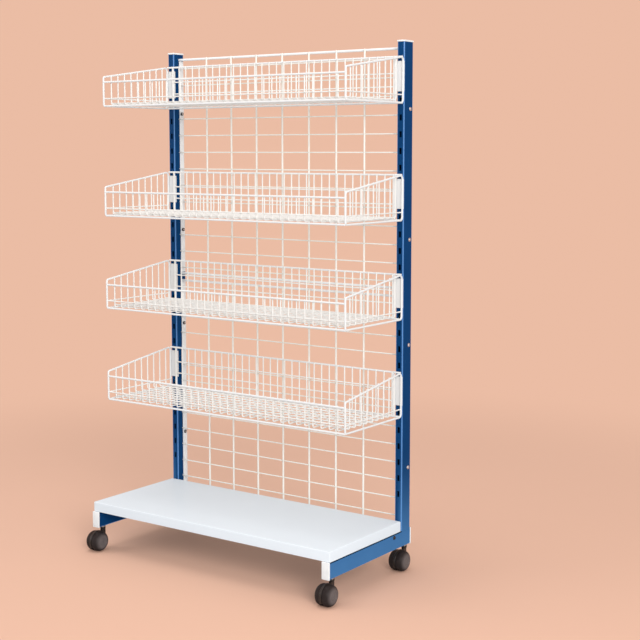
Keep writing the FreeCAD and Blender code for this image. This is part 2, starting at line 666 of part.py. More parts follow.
def make_wheel(name, sign, x, y):
    """One domed castor wheel, turned about X, with a blind bore for the axle."""
    turn = TURN_TO_X if sign > 0 else FreeCAD.Rotation(FreeCAD.Vector(0, 1, 0), -90)
    body = new_body(name, f"{x} + {sign} * ({WEB_HALF} + wheel_gap)", y, "wheel_radius", turn)
    outline = new_sketch(body, f"{name}_outline", "XY_Plane")
    draw_circle(outline, "tread", "2 * wheel_radius")
    disc = add_pad(body, f"{name}_disc", outline, "wheel_width")
    add_fillet(body, f"{name}_dome", disc, "wheel_round",
               lambda edge: edge.isClosed() and edge.CenterOfMass.z > 1e-6)
    bore = new_sketch(body, f"{name}_bore", "XY_Plane")
    draw_circle(bore, "bore", "axle_size + 2 * axle_fit")
    add_pocket(body, f"{name}_bore_cut", bore, "axle_reach + axle_end - wheel_gap", reverse=True)
    return body


def make_castor(name, x, stem_y):
    """A twin-wheel castor that trails to the front."""
    y = f"({stem_y} - trail)"
    web_x = f"{x} - {WEB_HALF}"
    round_size = "2 * (wheel_radius + web_rib)"
    web = rod(f"{name}_web", "X", round_size, "web_thick", web_x, y, "wheel_radius")
    keep = block(f"{name}_web_keep", "web_thick", round_size, "2 * wheel_radius + web_rib - web_clear",
                 web_x, f"{y} - wheel_radius - web_rib", "web_clear")
    trimmed = doc.addObject("Part::Common", f"{name}_web_trimmed")
    trimmed.Base = web
    trimmed.Tool = keep
    neck_low = "(wheel_radius + neck_low)"
    neck = block(f"{name}_neck", "web_thick", "boss_size", f"{BOSS_BASE} - {neck_low}",
                 web_x, f"{stem_y} - boss_size / 2", neck_low)
    boss = rod(f"{name}_boss", "Z", "boss_size", "boss_height", x, stem_y, BOSS_BASE)
    whole = joined(f"{name}_casting", trimmed, neck, boss)
    seat = f"{BOSS_BASE} + boss_height - stem_seat"
    stem_hole = rod(f"{name}_stem_hole", "Z", "stem_size", "stem_seat", x, stem_y, seat)
    axle_hole = rod(f"{name}_axle_hole", "X", "axle_size", "web_thick", web_x, y, "wheel_radius")
    node(cut(f"{name}_shell", whole, joined(f"{name}_holes", stem_hole, axle_hole)), f"{name}_housing")

    stem = rod(f"{name}_pin", "Z", "stem_size", f"{LEG_BASE} + stem_reach - ({seat})", x, stem_y, seat)
    collar_base = f"{BOSS_BASE} + boss_height"
    collar = rod(f"{name}_collar", "Z", "collar_size", "collar_height", x, stem_y, collar_base)
    node(joined(f"{name}_stem_whole", stem, collar), f"{name}_stem")

    reach = f"({WEB_HALF} + axle_reach)"
    axle = rod(f"{name}_axle_pin", "X", "axle_size", f"2 * {reach}", f"{x} - {reach}", y, "wheel_radius")
    node(axle, f"{name}_axle")
    wheels = [make_wheel(f"{name}_{side}_wheel", sign, x, y) for side, sign in SIDES.items()]
    group(f"{name}_wheels", wheels)


def make_castors():
    sockets = []
    for end, stem_y in (("front", "(leg_front + front_stem)"), ("rear", f"({LEG_REAR} - rear_stem)")):
        for side, sign in SIDES.items():
            name = f"{end}_{side}_castor"
            x = f"{sign} * bay_pitch / 2"
            make_castor(name, x, stem_y)
            bush = rod(f"{name}_bush", "Z", "socket_size", "socket_length", x, stem_y, LEG_BASE)
            under = f"{LEG_BASE} - socket_flange"
            flange = rod(f"{name}_flange", "Z", "socket_flange_size", "socket_flange", x, stem_y, under)
            bore = rod(f"{name}_bore", "Z", "stem_size + 2 * stem_fit", "socket_flange + socket_length",
                       x, stem_y, under)
            sockets.append(cut(f"{name}_socket", joined(f"{name}_bush_whole", bush, flange), bore))
    group("castor_sockets", sockets)


def check_document():
    for item in doc.Objects:
        if "Invalid" in item.State or "Error" in item.State:
            raise RuntimeError(f"{item.Name} did not build: {item.State}")
    for item in nodes:
        if item.Shape.isNull() or not item.Shape.isValid() or not item.Shape.Solids:
            raise RuntimeError(f"{item.Label} has no good shape")


for post_side in SIDES:
    make_post(post_side)
    make_leg(post_side)
make_caps()
make_deck()
for panel in PANELS:
    make_panel(panel)
make_fixings()
make_baskets()
make_castors()
doc.recompute()
check_document()
os.makedirs("parts", exist_ok=True)
for item in nodes:
    item.Shape.exportStep(f"parts/{item.Label}.step")
print(f"{len(nodes)} nodes, {sum(len(item.Shape.Solids) for item in nodes)} solids")
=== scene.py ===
import math

import bmesh
import bpy
from bpy.props import FloatProperty, FloatVectorProperty, IntProperty, PointerProperty
from mathutils import Matrix, Vector


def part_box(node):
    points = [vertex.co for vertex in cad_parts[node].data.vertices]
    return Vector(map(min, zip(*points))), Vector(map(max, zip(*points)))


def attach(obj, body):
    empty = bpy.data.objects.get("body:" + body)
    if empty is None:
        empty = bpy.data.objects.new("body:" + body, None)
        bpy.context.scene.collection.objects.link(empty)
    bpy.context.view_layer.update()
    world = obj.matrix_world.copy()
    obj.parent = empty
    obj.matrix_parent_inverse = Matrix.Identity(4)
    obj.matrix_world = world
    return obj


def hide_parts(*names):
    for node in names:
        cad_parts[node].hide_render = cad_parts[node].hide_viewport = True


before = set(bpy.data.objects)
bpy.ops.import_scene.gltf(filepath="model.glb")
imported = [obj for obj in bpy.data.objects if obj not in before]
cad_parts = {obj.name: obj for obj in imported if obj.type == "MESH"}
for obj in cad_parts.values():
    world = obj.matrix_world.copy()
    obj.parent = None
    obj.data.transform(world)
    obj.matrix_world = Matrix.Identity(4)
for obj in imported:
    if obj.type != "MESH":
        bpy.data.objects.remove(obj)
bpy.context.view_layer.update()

bl_info = {
    "name": "Basket Shelving Unit",
    "version": (1, 0, 0),
    "blender": (4, 5, 0),
    "location": "3D View > Sidebar > Shelving",
    "description": "Slotted posts on castor legs with a deck, a mesh back and hook-on wire baskets",
    "category": "Add Mesh",
}

SIDES = {"left": -1, "right": 1}
BASKETS = ("basket_1", "basket_2", "basket_3", "basket_4")
PANELS = ("upper_panel", "lower_panel")
CASTORS = ("front_left_castor", "front_right_castor", "rear_left_castor", "rear_right_castor")

# Angles and steps that round the meshes
SHARP_ANGLE = math.radians(35.0)
BEVEL_ANGLE = math.radians(50.0)
BEVEL_STEPS = 2
CORNER_STEPS = 5
FOLD_STEPS = 6
FIXING_STEPS = 24
SHANK_STEPS = 16
WHEEL_STEPS = 44
BOSS_STEPS = 32

# Small distances in metres: a broken edge, a piece let into its neighbour, and as good as none
FINE_EDGE = 0.0004
SUNK = 0.0002
TOUCHING = 1e-7

# The studio: each lamp's name, place and diameter, where they point, and the size of the floor
LAMPS = (
    ("key", (5.6, -4.2, 3.1), 3.6),
    ("fill", (-4.2, -3.6, 2.4), 3.2),
    ("top", (-0.3, -0.6, 4.6), 3.0),
)
LAMP_TARGET = Vector((0.0, 0.0, 0.8))
FLOOR_REACH = 60.0
WHITE = (1.0, 1.0, 1.0, 1.0)

# The camera's film in millimetres, and how far it sees in metres
FILM_WIDTH = 36.0
SIGHT = 200.0


def length(name, description, default):
    """A size in metres."""
    return FloatProperty(name=name, description=description, default=default, unit="LENGTH")


def colour(name, description, default):
    """A colour as linear values."""
    return FloatVectorProperty(name=name, description=description, default=default, subtype="COLOR",
                               size=3, min=0.0, max=1.0)


class ShelvingTubes(bpy.types.PropertyGroup):
    """Sizes of the posts, legs, caps and deck."""

    corner: length("Tube corner", "Outer corner radius of the tube", 0.0035)
    wall: length("Tube wall", "Wall thickness of the tube", 0.0015)
    slot_width: length("Slot width", "Width of a slot in a post", 0.008)
    slot_height: length("Slot height", "Height of a slot in a post", 0.018)
    slot_pitch: length("Slot pitch", "Slot to slot", 0.05)
    slot_drop: length("Slot drop", "Post top to the middle of the first slot", 0.074)
    slot_base: length("Slot base", "Least distance from the last slot to the leg", 0.1)
    slot_edge: length("Slot edge", "Rounding of the punched edges", 0.0004)
    cap_flange: length("Cap flange", "Thickness of a cap outside the tube", 0.005)
    cap_over: length("Cap overhang", "Flange of a cap past the tube, each side", 0.001)
    cap_plug: length("Cap plug", "Length of a cap inside the tube", 0.005)
    cap_edge: length("Cap edge", "Rounding of a cap", 0.0015)
    sheet: length("Deck sheet", "Thickness of the deck's sheet", 0.0015)
    deck_edge: length("Deck edge", "Rounding of the deck's folds", 0.003)
    deck_height: length("Deck height", "Deck, from its edge to its top", 0.032)
    deck_seam: length("Deck seam", "Shadow gap between the deck's edge and the legs", 0.0012)
    tab_width: length("Tab width", "Deck tab, front to back", 0.030)


class ShelvingWires(bpy.types.PropertyGroup):
    """Sizes of the mesh panels and the baskets."""

    rod: length("Frame rod", "Diameter of a basket's frame rod", 0.006)
    wire: length("Wire", "Diameter of a basket's wire", 0.004)
    loop_bend: length("Loop bend", "Bend of a side loop at the rear", 0.011)
    front_bend: length("Front bend", "Bend of a side loop at the front", 0.006)
    wire_bend: length("Wire bend", "Bend of a wire between floor and wall", 0.005)
    front_rail: length("Front rail", "Height of the front rail above the bottom rods", 0.076)
    front_height: length("Front height", "Height of the side loops at the front", 0.092)
    rear_height: length("Rear height", "Height of the side loops at the rear", 0.136)
    band: length("Band wire", "Height of the wire round the front and sides", 0.024)
    back_low: length("Low back wire", "Height of the lower wire of the back", 0.048)
    back_high: length("High back wire", "Height of the upper wire of the back", 0.087)
    inner_upright: length("Inner upright", "Inner back upright from the corner rod", 0.027)
    cells_across: IntProperty(name="Cells across", description="Wire spaces across a basket",
                              default=32)
    cells_deep: IntProperty(name="Cells deep", description="Wire spaces front to back", default=10)
    hook_plate: length("Hook plate", "Thickness of a hook plate", 0.003)
    lug_thick: length("Lug", "Thickness of a hook plate's lug", 0.004)
    lug_arm: length("Lug arm", "Height of a lug in its slot", 0.009)
    lug_drop: length("Lug drop", "Nose of a lug below its arm", 0.005)
    lug_nose: length("Lug nose", "Depth of a lug's nose", 0.003)
    mesh_upright: length("Mesh upright", "Diameter of an upright mesh wire", 0.006)
    mesh_wire: length("Mesh wire", "Diameter of a level mesh wire", 0.004)
    mesh_rod: length("Mesh rod", "Diameter of a mesh panel's edge rod", 0.008)
    mesh_column: length("Mesh column", "Upright to upright in the mesh", 0.105)
    mesh_row: length("Mesh row", "Level wire to level wire in the mesh", 0.056)
    side_bar: length("Side bar", "Thickness of a mesh panel's side bar", 0.003)
    bar_edge: length("Bar edge", "Rounding of flat bars and plates", 0.0007)
    sides: IntProperty(name="Sides", description="Faces round a wire", default=10, min=6)
    bend_steps: IntProperty(name="Bend steps", description="Steps round a bend", default=5, min=2)


class ShelvingCastors(bpy.types.PropertyGroup):
    """Sizes of the castors and the fixings."""

    wheel_radius: length("Wheel radius", "Radius of a wheel", 0.032)
    wheel_width: length("Wheel width", "Width of one wheel", 0.0225)
    wheel_round: length("Wheel rounding", "Rounding of a wheel's outer side", 0.016)
    wheel_gap: length("Wheel gap", "Wheel to housing", 0.0005)
    web: length("Housing", "Thickness of the housing between the wheels", 0.008)
    rib: length("Housing rib", "Housing outside the wheels", 0.002)
    clear: length("Housing clearance", "Housing above the floor", 0.014)
    boss: length("Boss", "Diameter of the boss under the stem", 0.018)
    boss_gap: length("Boss gap", "Boss above the wheels", 0.003)
    neck_low: length("Neck", "Underside of the neck above the axle", 0.017)
    socket: length("Socket", "Diameter of the socket in the leg", 0.016)
    socket_flange: length("Socket flange", "Thickness of the socket's flange", 0.0015)
    socket_flange_size: length("Socket flange size", "Diameter of the socket's flange", 0.020)
    stem_hole: length("Stem hole", "Diameter of the socket's bore", 0.0111)
    bolt: length("Bolt", "Bolt diameter", 0.006)
    head: length("Bolt head", "Diameter of a bolt head", 0.012)
    head_height: length("Bolt head height", "Height of a bolt head", 0.0035)
    nut: length("Nut", "Nut size across its flats", 0.00996)
    nut_height: length("Nut height", "Height of a nut", 0.005)
    bolt_end: length("Bolt end", "Bolt showing past its nut", 0.0015)


class ShelvingColours(bpy.types.PropertyGroup):
    """Colours of the finishes, as linear values."""

    blue: colour("Post blue", "Powder coat of the posts and legs", (0.0035, 0.046, 0.150))
    # Painted highlight and wear: a lighter blue on the tubes' corners stands in for the lamps'
    # highlight on the round corners; it also colours the rubs
    blue_wear_and_highlight: colour("Post edge", "Highlight_and_thin coat on the tubes' corners", (0.120, 0.300, 0.640))
    # Painted light: a lighter, greyer blue on the outer faces near the floor stands in for light
    # falling there
    blue_painted_light: colour("Painted_light blue", "Painted_light, brighter coat near the floor", (0.062, 0.190, 0.410))
    # Painted shade: a near-black blue on the legs' top corners stands in for the shadow in the seam
    # under the deck
    painted_seam_shade: colour("Seam_shade", "Painted_shade in the seam between legs and deck", (0.004, 0.010, 0.020))
    wire: colour("Wire white", "Coat of the wires", (0.870, 0.850, 0.815))
    wire_cool: colour("Cool white", "Cooler patches in the coat of the rods", (0.800, 0.825, 0.855))
    mesh: colour("Mesh white", "Coat of the mesh wires", (0.915, 0.880, 0.810))
    wire_weld: colour("Weld grey", "Coat over the welds", (0.640, 0.615, 0.580))
    deck: colour("Deck white", "Coat of the deck", (0.800, 0.838, 0.880))
    deck_rubbed: colour("Rubbed deck", "Scuffed coat of the deck", (0.690, 0.740, 0.800))
    cap: colour("Cap white", "Plastic of the tube caps", (0.870, 0.870, 0.865))
    zinc: colour("Zinc", "Plated bolts and stems", (0.600, 0.610, 0.640))
    dark_steel: colour("Dark steel", "Nuts and deck bolts", (0.055, 0.058, 0.064))
    housing: colour("Housing black", "Castor housings and sockets", (0.010, 0.009, 0.009))
    wheel: colour("Wheel brown", "Faces of the wheels", (0.135, 0.112, 0.108))
    # Painted shade: a near-black toward the wheels' rims stands in for the darkening at their outline
    wheel_rim_shade: colour("Rim_shade black", "Painted_rim_shade of the wheels", (0.008, 0.005, 0.005))
    floor: colour("Floor", "Floor and backdrop", (0.830, 0.508, 0.374))
    floor_bounce: colour("Floor bounce", "Floor as the unit sees it", (0.580, 0.570, 0.570))


class ShelvingStage(bpy.types.PropertyGroup):
    """The camera and the studio light."""

    camera: FloatVectorProperty(name="Camera", description="Place of the camera", subtype="TRANSLATION",
                                unit="LENGTH", size=3, default=(2.5454, -3.1773, 1.2925))
    yaw: FloatProperty(name="Turn", description="Turn of the camera about the vertical",
                       subtype="ANGLE", default=math.radians(35.372))
    pitch: FloatProperty(name="Tilt", description="Downward tilt of the camera", subtype="ANGLE",
                         default=math.radians(5.941))
    lens: FloatProperty(name="Lens", description="Focal length in millimetres", default=73.73)
    shift: FloatProperty(name="Shift", description="Vertical shift of the picture", default=-0.05)
    ambient: FloatProperty(name="Ambient", description="Strength of the light from all round",
                           default=0.57)
    key: FloatProperty(name="Key", description="Power of the light beside the camera", default=336.0,
                       unit="POWER")
    fill: FloatProperty(name="Fill", description="Power of the light from the left", default=45.0,
                        unit="POWER")
    top: FloatProperty(name="Top", description="Power of the light above", default=48.0, unit="POWER")
    fade_start: length("Fade start", "Where the floor begins to pass into the backdrop", 1.2)
    fade_end: length("Fade end", "Where the floor has become the backdrop", 3.2)


GROUPS = {
    "shelving_tubes": ShelvingTubes,
    "shelving_wires": ShelvingWires,
    "shelving_castors": ShelvingCastors,
    "shelving_colours": ShelvingColours,
    "shelving_stage": ShelvingStage,
}


class Shade:
    """A node's output that Python arithmetic can work on."""

    def __init__(self, finish, output):
        self.finish = finish
        self.output = output

    def math(self, operation, *operands):
        """A Math node with these operands."""
        return self.finish.node("ShaderNodeMath", {"operation": operation}, dict(enumerate(operands)))

    def __add__(self, other):
        return self.math("ADD", self, other)

    __radd__ = __add__

    def __sub__(self, other):
        return self.math("SUBTRACT", self, other)

    def __rsub__(self, other):
        return self.math("SUBTRACT", other, self)

    def __mul__(self, other):
        return self.math("MULTIPLY", self, other)

    __rmul__ = __mul__

    def __abs__(self):
        return self.math("ABSOLUTE", self)


class Finish:
    """A surface finish: a node tree, the shader it feeds and the nodes that vary it."""

    def __init__(self, name, constants=None):
        self.material = bpy.data.materials.new(name)
        self.material.use_nodes = True
        self.tree = self.material.node_tree
        self.shader = self.tree.nodes["Principled BSDF"]
        for socket, value in (constants or {}).items():
            self.shader.inputs[socket].default_value = value

    @classmethod
    def around(cls, world):
        """The same tools on a world's node tree."""
        made = cls.__new__(cls)
        made.tree = world.node_tree
        return made

    def node(self, kind, settings=None, inputs=None, output=0):
        """Add a node: its settings first, then the values or links of its sockets."""
        made = self.tree.nodes.new(kind)
        for name, value in (settings or {}).items():
            setattr(made, name, value)
        for name, value in (inputs or {}).items():
            if isinstance(value, Shade):
                self.tree.links.new(value.output, made.inputs[name])
            else:
                made.inputs[name].default_value = value
        return Shade(self, made.outputs[output])

    def drive(self, socket, shade):
        """Let a varying value feed one of the shader's sockets."""
        self.tree.links.new(shade.output, self.shader.inputs[socket])

    def place(self):
        """The surface's place in the unit's own frame, in metres."""
        return self.node("ShaderNodeTexCoord", output="Object")

    def axes(self, place):
        """A place's three parts as separate values."""
        parts = self.node("ShaderNodeSeparateXYZ", inputs={"Vector": place}).output.node
        return [Shade(self, output) for output in parts.outputs]

    def stretched(self, place, scale):
        """A place scaled apart on each axis, for marks that run one way."""
        return self.node("ShaderNodeVectorMath", {"operation": "MULTIPLY"}, {0: place, 1: scale})

    def noise(self, place, scale, detail, roughness=0.55):
        return self.node("ShaderNodeTexNoise", None,
                         {"Vector": place, "Scale": scale, "Detail": detail, "Roughness": roughness})

    def ease(self, shade, start, end, low=0.0, high=1.0):
        """A smooth step of a value between two limits."""
        limits = {"Value": shade, "From Min": start, "From Max": end, "To Min": low, "To Max": high}
        return self.node("ShaderNodeMapRange", {"interpolation_type": "SMOOTHSTEP"}, limits)

    def near_lines(self, shade, pitch, offset, width):
        """One on each of a row of evenly spaced lines, falling to zero beside them."""
        away = shade.math("PINGPONG", shade - offset, pitch / 2)
        return self.ease(away, start=width, end=0.0)

    def mix(self, factor, first, second):
        """A colour between two, by a factor."""
        return self.node("ShaderNodeMix", {"data_type": "RGBA"}, {0: factor, 6: first, 7: second}, 2)

    def mark(self, name):
        """A value that the mesh carries at its points."""
        return self.node("ShaderNodeAttribute", {"attribute_name": name}, output="Fac")

    def bump(self, height, strength, distance):
        """Raise the surface by a height, as far as a distance in metres."""
        relief = {"Height": height, "Strength": strength, "Distance": distance}
        self.drive("Normal", self.node("ShaderNodeBump", None, relief, "Normal"))


def opaque(value):
    """A colour with full alpha, as colour sockets take it."""
    return (*value, 1.0)


def tinted(value, factor):
    """A colour made darker or lighter."""
    return tuple(min(1.0, part * factor) for part in value)


def seen_rays(finish):
    """One for what the camera sees directly, in a reflection or through something clear."""
    path = finish.node("ShaderNodeLightPath").output.node.outputs
    direct = Shade(finish, path["Is Camera Ray"])
    return direct + Shade(finish, path["Is Glossy Ray"]) + Shade(finish, path["Is Transmission Ray"])


def blue_coat():
    """Blue powder coat: orange peel, clouds and rubs, with a painted highlight on the corners, painted
    shade on the legs' top corners under the deck, and painted light that makes the outer faces lighter
    near the floor.
    """
    colours = bpy.context.scene.shelving_colours
    finish = Finish("post_blue_coat", {"Specular IOR Level": 0.0, "Coat Roughness": 0.22})
    place = finish.place()
    clouds = finish.noise(place, scale=9.0, detail=4.0)
    peel = finish.noise(place, scale=620.0, detail=2.0)
    along_tube = finish.stretched(place, (240.0, 240.0, 14.0))
    rubs = finish.noise(along_tube, scale=1.0, detail=4.0, roughness=0.6)
    rubbed = finish.ease(rubs, start=0.66, end=0.78)
    edge = finish.mark("edge")
    across, _, height = finish.axes(place)
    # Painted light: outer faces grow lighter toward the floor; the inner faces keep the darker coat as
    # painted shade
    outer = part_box("right_leg")[1].x
    outside = finish.ease(abs(across), start=outer - 0.022, end=outer - 0.001)
    low = finish.ease(height, start=0.46, end=0.05)
    low_painted_light = low * low * outside * (0.86 + 0.28 * clouds)
    plain_coat = finish.mix(clouds, opaque(tinted(colours.blue, 0.82)), opaque(tinted(colours.blue, 1.2)))
    body = finish.mix(low_painted_light, plain_coat, opaque(colours.blue_painted_light))
    # Painted highlight and wear: corners marked one take the lighter corner blue
    wear_and_painted_light = finish.mix(edge * (0.55 + 0.45 * clouds), body, opaque(colours.blue_wear_and_highlight))
    # Painted shade: corners marked minus one, along the legs' tops under the deck, take the dark seam
    # colour
    seam_shaded = finish.mix(-0.85 * edge, wear_and_painted_light, opaque(colours.painted_seam_shade))
    finish.drive("Base Color", finish.mix(rubbed * 0.22, seam_shaded, opaque(colours.blue_wear_and_highlight)))
    finish.drive("Roughness", 0.27 + 0.12 * clouds + 0.12 * rubbed)
    finish.drive("Coat Weight", finish.ease(edge, start=-0.4, end=1.0, low=0.0, high=0.44))
    finish.bump(peel + 0.5 * rubs, strength=0.16, distance=0.0004)
    return finish.material


def wire_coat(name, columns, lines, axis, white):
    """White powder coat on wire, greyer where wires cross: columns along X, lines along another axis.

    Columns and lines are each a pitch and the place of one of them.
    """
    colours = bpy.context.scene.shelving_colours
    finish = Finish(name, {"IOR": 1.48, "Coat Roughness": 0.25})
    place = finish.place()
    parts = finish.axes(place)
    reach = 1.05 * bpy.context.scene.shelving_wires.wire
    weld = finish.near_lines(parts[0], *columns, reach) * finish.near_lines(parts[axis], *lines, reach)
    clouds = finish.noise(place, scale=24.0, detail=4.0)
    grain = finish.noise(place, scale=900.0, detail=3.0)
    body = finish.mix(clouds, opaque(tinted(white, 0.95)), opaque(tinted(white, 1.05)))
    finish.drive("Base Color", finish.mix(weld * (0.3 + 0.5 * clouds), body, opaque(colours.wire_weld)))
    finish.drive("Roughness", 0.36 + 0.14 * clouds + 0.15 * weld)
    finish.drive("Coat Weight", 0.22 - 0.12 * weld)
    finish.bump(grain + 2.0 * weld * clouds, strength=0.12, distance=0.0003)
    return finish.material


def rod_coat(name, painted_light_tone):
    """The same white coat on the thicker rods, plates and bars, a little cooler and smoother; its
    brightness is set per piece as painted light, raised on the mesh's edge rods and bars, which sit in
    shade, and lowered on the hook plates, which face the lamps.
    """
    colours = bpy.context.scene.shelving_colours
    finish = Finish(name, {"IOR": 1.48, "Coat Roughness": 0.2})
    place = finish.place()
    clouds = finish.noise(place, scale=14.0, detail=4.0)
    grain = finish.noise(place, scale=700.0, detail=3.0)
    specks = finish.noise(place, scale=160.0, detail=5.0, roughness=0.65)
    chips = finish.ease(specks, start=0.70, end=0.74) * finish.mark("edge")
    cool = opaque(tinted(colours.wire_cool, painted_light_tone))
    body = finish.mix(clouds, cool, opaque(tinted(colours.wire, painted_light_tone)))
    finish.drive("Base Color", finish.mix(chips * 0.5, body, opaque(colours.wire_weld)))
    finish.drive("Roughness", 0.32 + 0.14 * clouds)
    finish.drive("Coat Weight", 0.28 - 0.1 * clouds)
    finish.bump(grain, strength=0.1, distance=0.0003)
    return finish.material


def deck_coat():
    """Pale semi-gloss coat of the deck: fine orange peel, cloudy sheen and rubs where goods slide."""
    colours = bpy.context.scene.shelving_colours
    finish = Finish("deck_pale_coat", {"Specular IOR Level": 0.0, "Coat Roughness": 0.2})
    place = finish.place()
    clouds = finish.noise(place, scale=3.2, detail=4.0)
    peel = finish.noise(place, scale=420.0, detail=2.0)
    front_to_back = finish.stretched(place, (130.0, 7.0, 40.0))
    slides = finish.noise(front_to_back, scale=1.0, detail=5.0, roughness=0.65)
    rubbed = finish.ease(slides, start=0.60, end=0.76) * finish.ease(clouds, start=0.42, end=0.62)
    body = finish.mix(clouds, opaque(tinted(colours.deck, 0.97)), opaque(tinted(colours.deck, 1.03)))
    finish.drive("Base Color", finish.mix(rubbed * 0.28, body, opaque(colours.deck_rubbed)))
    finish.drive("Roughness", 0.25 + 0.1 * clouds + 0.14 * rubbed)
    finish.drive("Coat Weight", 0.12 - 0.08 * rubbed)
    finish.bump(peel + 0.3 * slides, strength=0.1, distance=0.0004)
    return finish.material


def moulded(name, body, wear_and_painted_light, pebbles, roughness, relief, shine=0.5):
    """Moulded plastic: a fine pebbled skin whose marked points take a second colour: wear on the caps'
    corners, and on the wheels painted shade that darkens the outer side toward the rim.
    """
    finish = Finish(name, {"IOR": 1.46, "Specular IOR Level": shine, "Coat Roughness": 0.3})
    place = finish.place()
    clouds = finish.noise(place, scale=45.0, detail=4.0)
    grain = finish.noise(place, scale=pebbles, detail=2.0)
    edge = finish.mark("edge")
    skin = finish.mix(clouds, opaque(tinted(body, 0.85)), opaque(tinted(body, 1.15)))
    finish.drive("Base Color", finish.mix(edge * (0.75 + 0.25 * clouds), skin, opaque(wear_and_painted_light)))
    finish.drive("Roughness", roughness + 0.16 * clouds + 0.12 * edge)
    finish.drive("Coat Weight", 0.14 - 0.12 * edge)
    finish.bump(grain + clouds, strength=relief, distance=0.0004)
    return finish.material


def plated(name, body, roughness):
    """Plated steel: turning marks round the piece, dull patches and a faint tint."""
    finish = Finish(name, {"Specular IOR Level": 0.5})
    place = finish.place()
    patches = finish.noise(place, scale=210.0, detail=4.0, roughness=0.6)
    round_piece = finish.stretched(place, (300.0, 2600.0, 2600.0))
    marks = finish.noise(round_piece, scale=1.0, detail=3.0)
    tint = finish.mix(patches, opaque(tinted(body, 0.78)), opaque(tinted(body, 1.15)))
    finish.drive("Base Color", tint)
    finish.drive("Metallic", 0.85 + 0.15 * patches)
    finish.drive("Roughness", roughness + 0.16 * patches + 0.08 * marks)
    finish.bump(marks, strength=0.08, distance=0.0002)
    return finish.material


class Shape:
    """Points and faces gathered into one mesh.

    Each point has an edge mark: one on a corner, for wear and, on the tubes, a painted highlight; one
    on a wheel's rim, for painted shade; minus one in the seam under the deck, for painted shade; else
    zero.
    """

    def __init__(self):
        self.points = []
        self.faces = []
        self.marks = []

    def add(self, points, faces, marks=None, matrix=None):
        first = len(self.points)
        if matrix is not None:
            points = [matrix @ Vector(point) for point in points]
        self.points.extend(tuple(point) for point in points)
        self.faces.extend([first + index for index in face] for face in faces)
        self.marks.extend(marks if marks is not None else [0.0] * len(points))

    def piece(self, name, body, material, slot, replaced):
        """Make the mesh an object that rides on a body and stands for the nodes it replaces."""
        mesh = bpy.data.meshes.new(name)
        mesh.from_pydata(self.points, [], self.faces)
        work = bmesh.new()
        work.from_mesh(mesh)
        bmesh.ops.recalc_face_normals(work, faces=work.faces)
        work.to_mesh(mesh)
        work.free()
        mesh.attributes.new("edge", "FLOAT", "POINT").data.foreach_set("value", self.marks)
        mesh.shade_smooth()
        mesh.set_sharp_from_angle(angle=SHARP_ANGLE)
        mesh.materials.append(material)
        made = bpy.data.objects.new(name, mesh)
        bpy.context.scene.collection.objects.link(made)
        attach(made, body)
        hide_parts(*replaced)
        return made


def bent_path(corners, bends, steps, closed=False):
    """Points along straight runs joined by round bends, one bend for each corner."""
    points = []
    total = len(corners)
    for index, (corner, bend) in enumerate(zip(corners, bends)):
        corner = Vector(corner)
        if not closed and index in (0, total - 1):
            points.append(corner)
            continue
        before = (Vector(corners[index - 1]) - corner).normalized()
        after = (Vector(corners[(index + 1) % total]) - corner).normalized()
        half = before.angle(after) / 2
        centre = corner + (before + after).normalized() * (bend / math.sin(half))
        start = corner + before * (bend / math.tan(half)) - centre
        end = corner + after * (bend / math.tan(half)) - centre
        axis = start.cross(end).normalized()
        turn = start.angle(end)
        for step in range(steps + 1):
            points.append(centre + Matrix.Rotation(turn * step / steps, 3, axis) @ start)
    return points


def add_bar(shape, path, diameter, sides, closed=False):
    """Add a round bar along a path, with its cut ends slightly broken."""
    path = [Vector(point) for point in path]
    radius = diameter / 2
    total = len(path)
    tangents = []
    for index in range(total):
        if closed:
            along = path[(index + 1) % total] - path[index - 1]
        else:
            along = path[min(index + 1, total - 1)] - path[max(index - 1, 0)]
        tangents.append(along.normalized())
    normal = tangents[0].orthogonal().normalized()
    rings = []
    for index, (point, along) in enumerate(zip(path, tangents)):
        if index:
            normal = tangents[index - 1].rotation_difference(along) @ normal
        normal = (normal - along * normal.dot(along)).normalized()
        rings.append((point, along, normal.copy(), radius))
    if not closed:
        broken = radius * 0.3
        point, along, side, _ = rings[0]
        rings[0] = (point + along * broken, along, side, radius)
        rings.insert(0, (point, along, side, radius - broken))
        point, along, side, _ = rings[-1]
        rings[-1] = (point - along * broken, along, side, radius)
        rings.append((point, along, side, radius - broken))
    points = []
    for point, along, side, reach in rings:
        other = along.cross(side)
        for step in range(sides):
            turn = 2 * math.pi * step / sides
            points.append(point + (side * math.cos(turn) + other * math.sin(turn)) * reach)
    faces = []
    count = len(rings)
    for ring in range(count if closed else count - 1):
        following = (ring + 1) % count
        for step in range(sides):
            beside = (step + 1) % sides
            faces.append((ring * sides + step, ring * sides + beside,
                          following * sides + beside, following * sides + step))
    if not closed:
        faces.append(tuple(range(sides)))
        faces.append(tuple((count - 1) * sides + step for step in range(sides)))
    shape.add(points, faces)


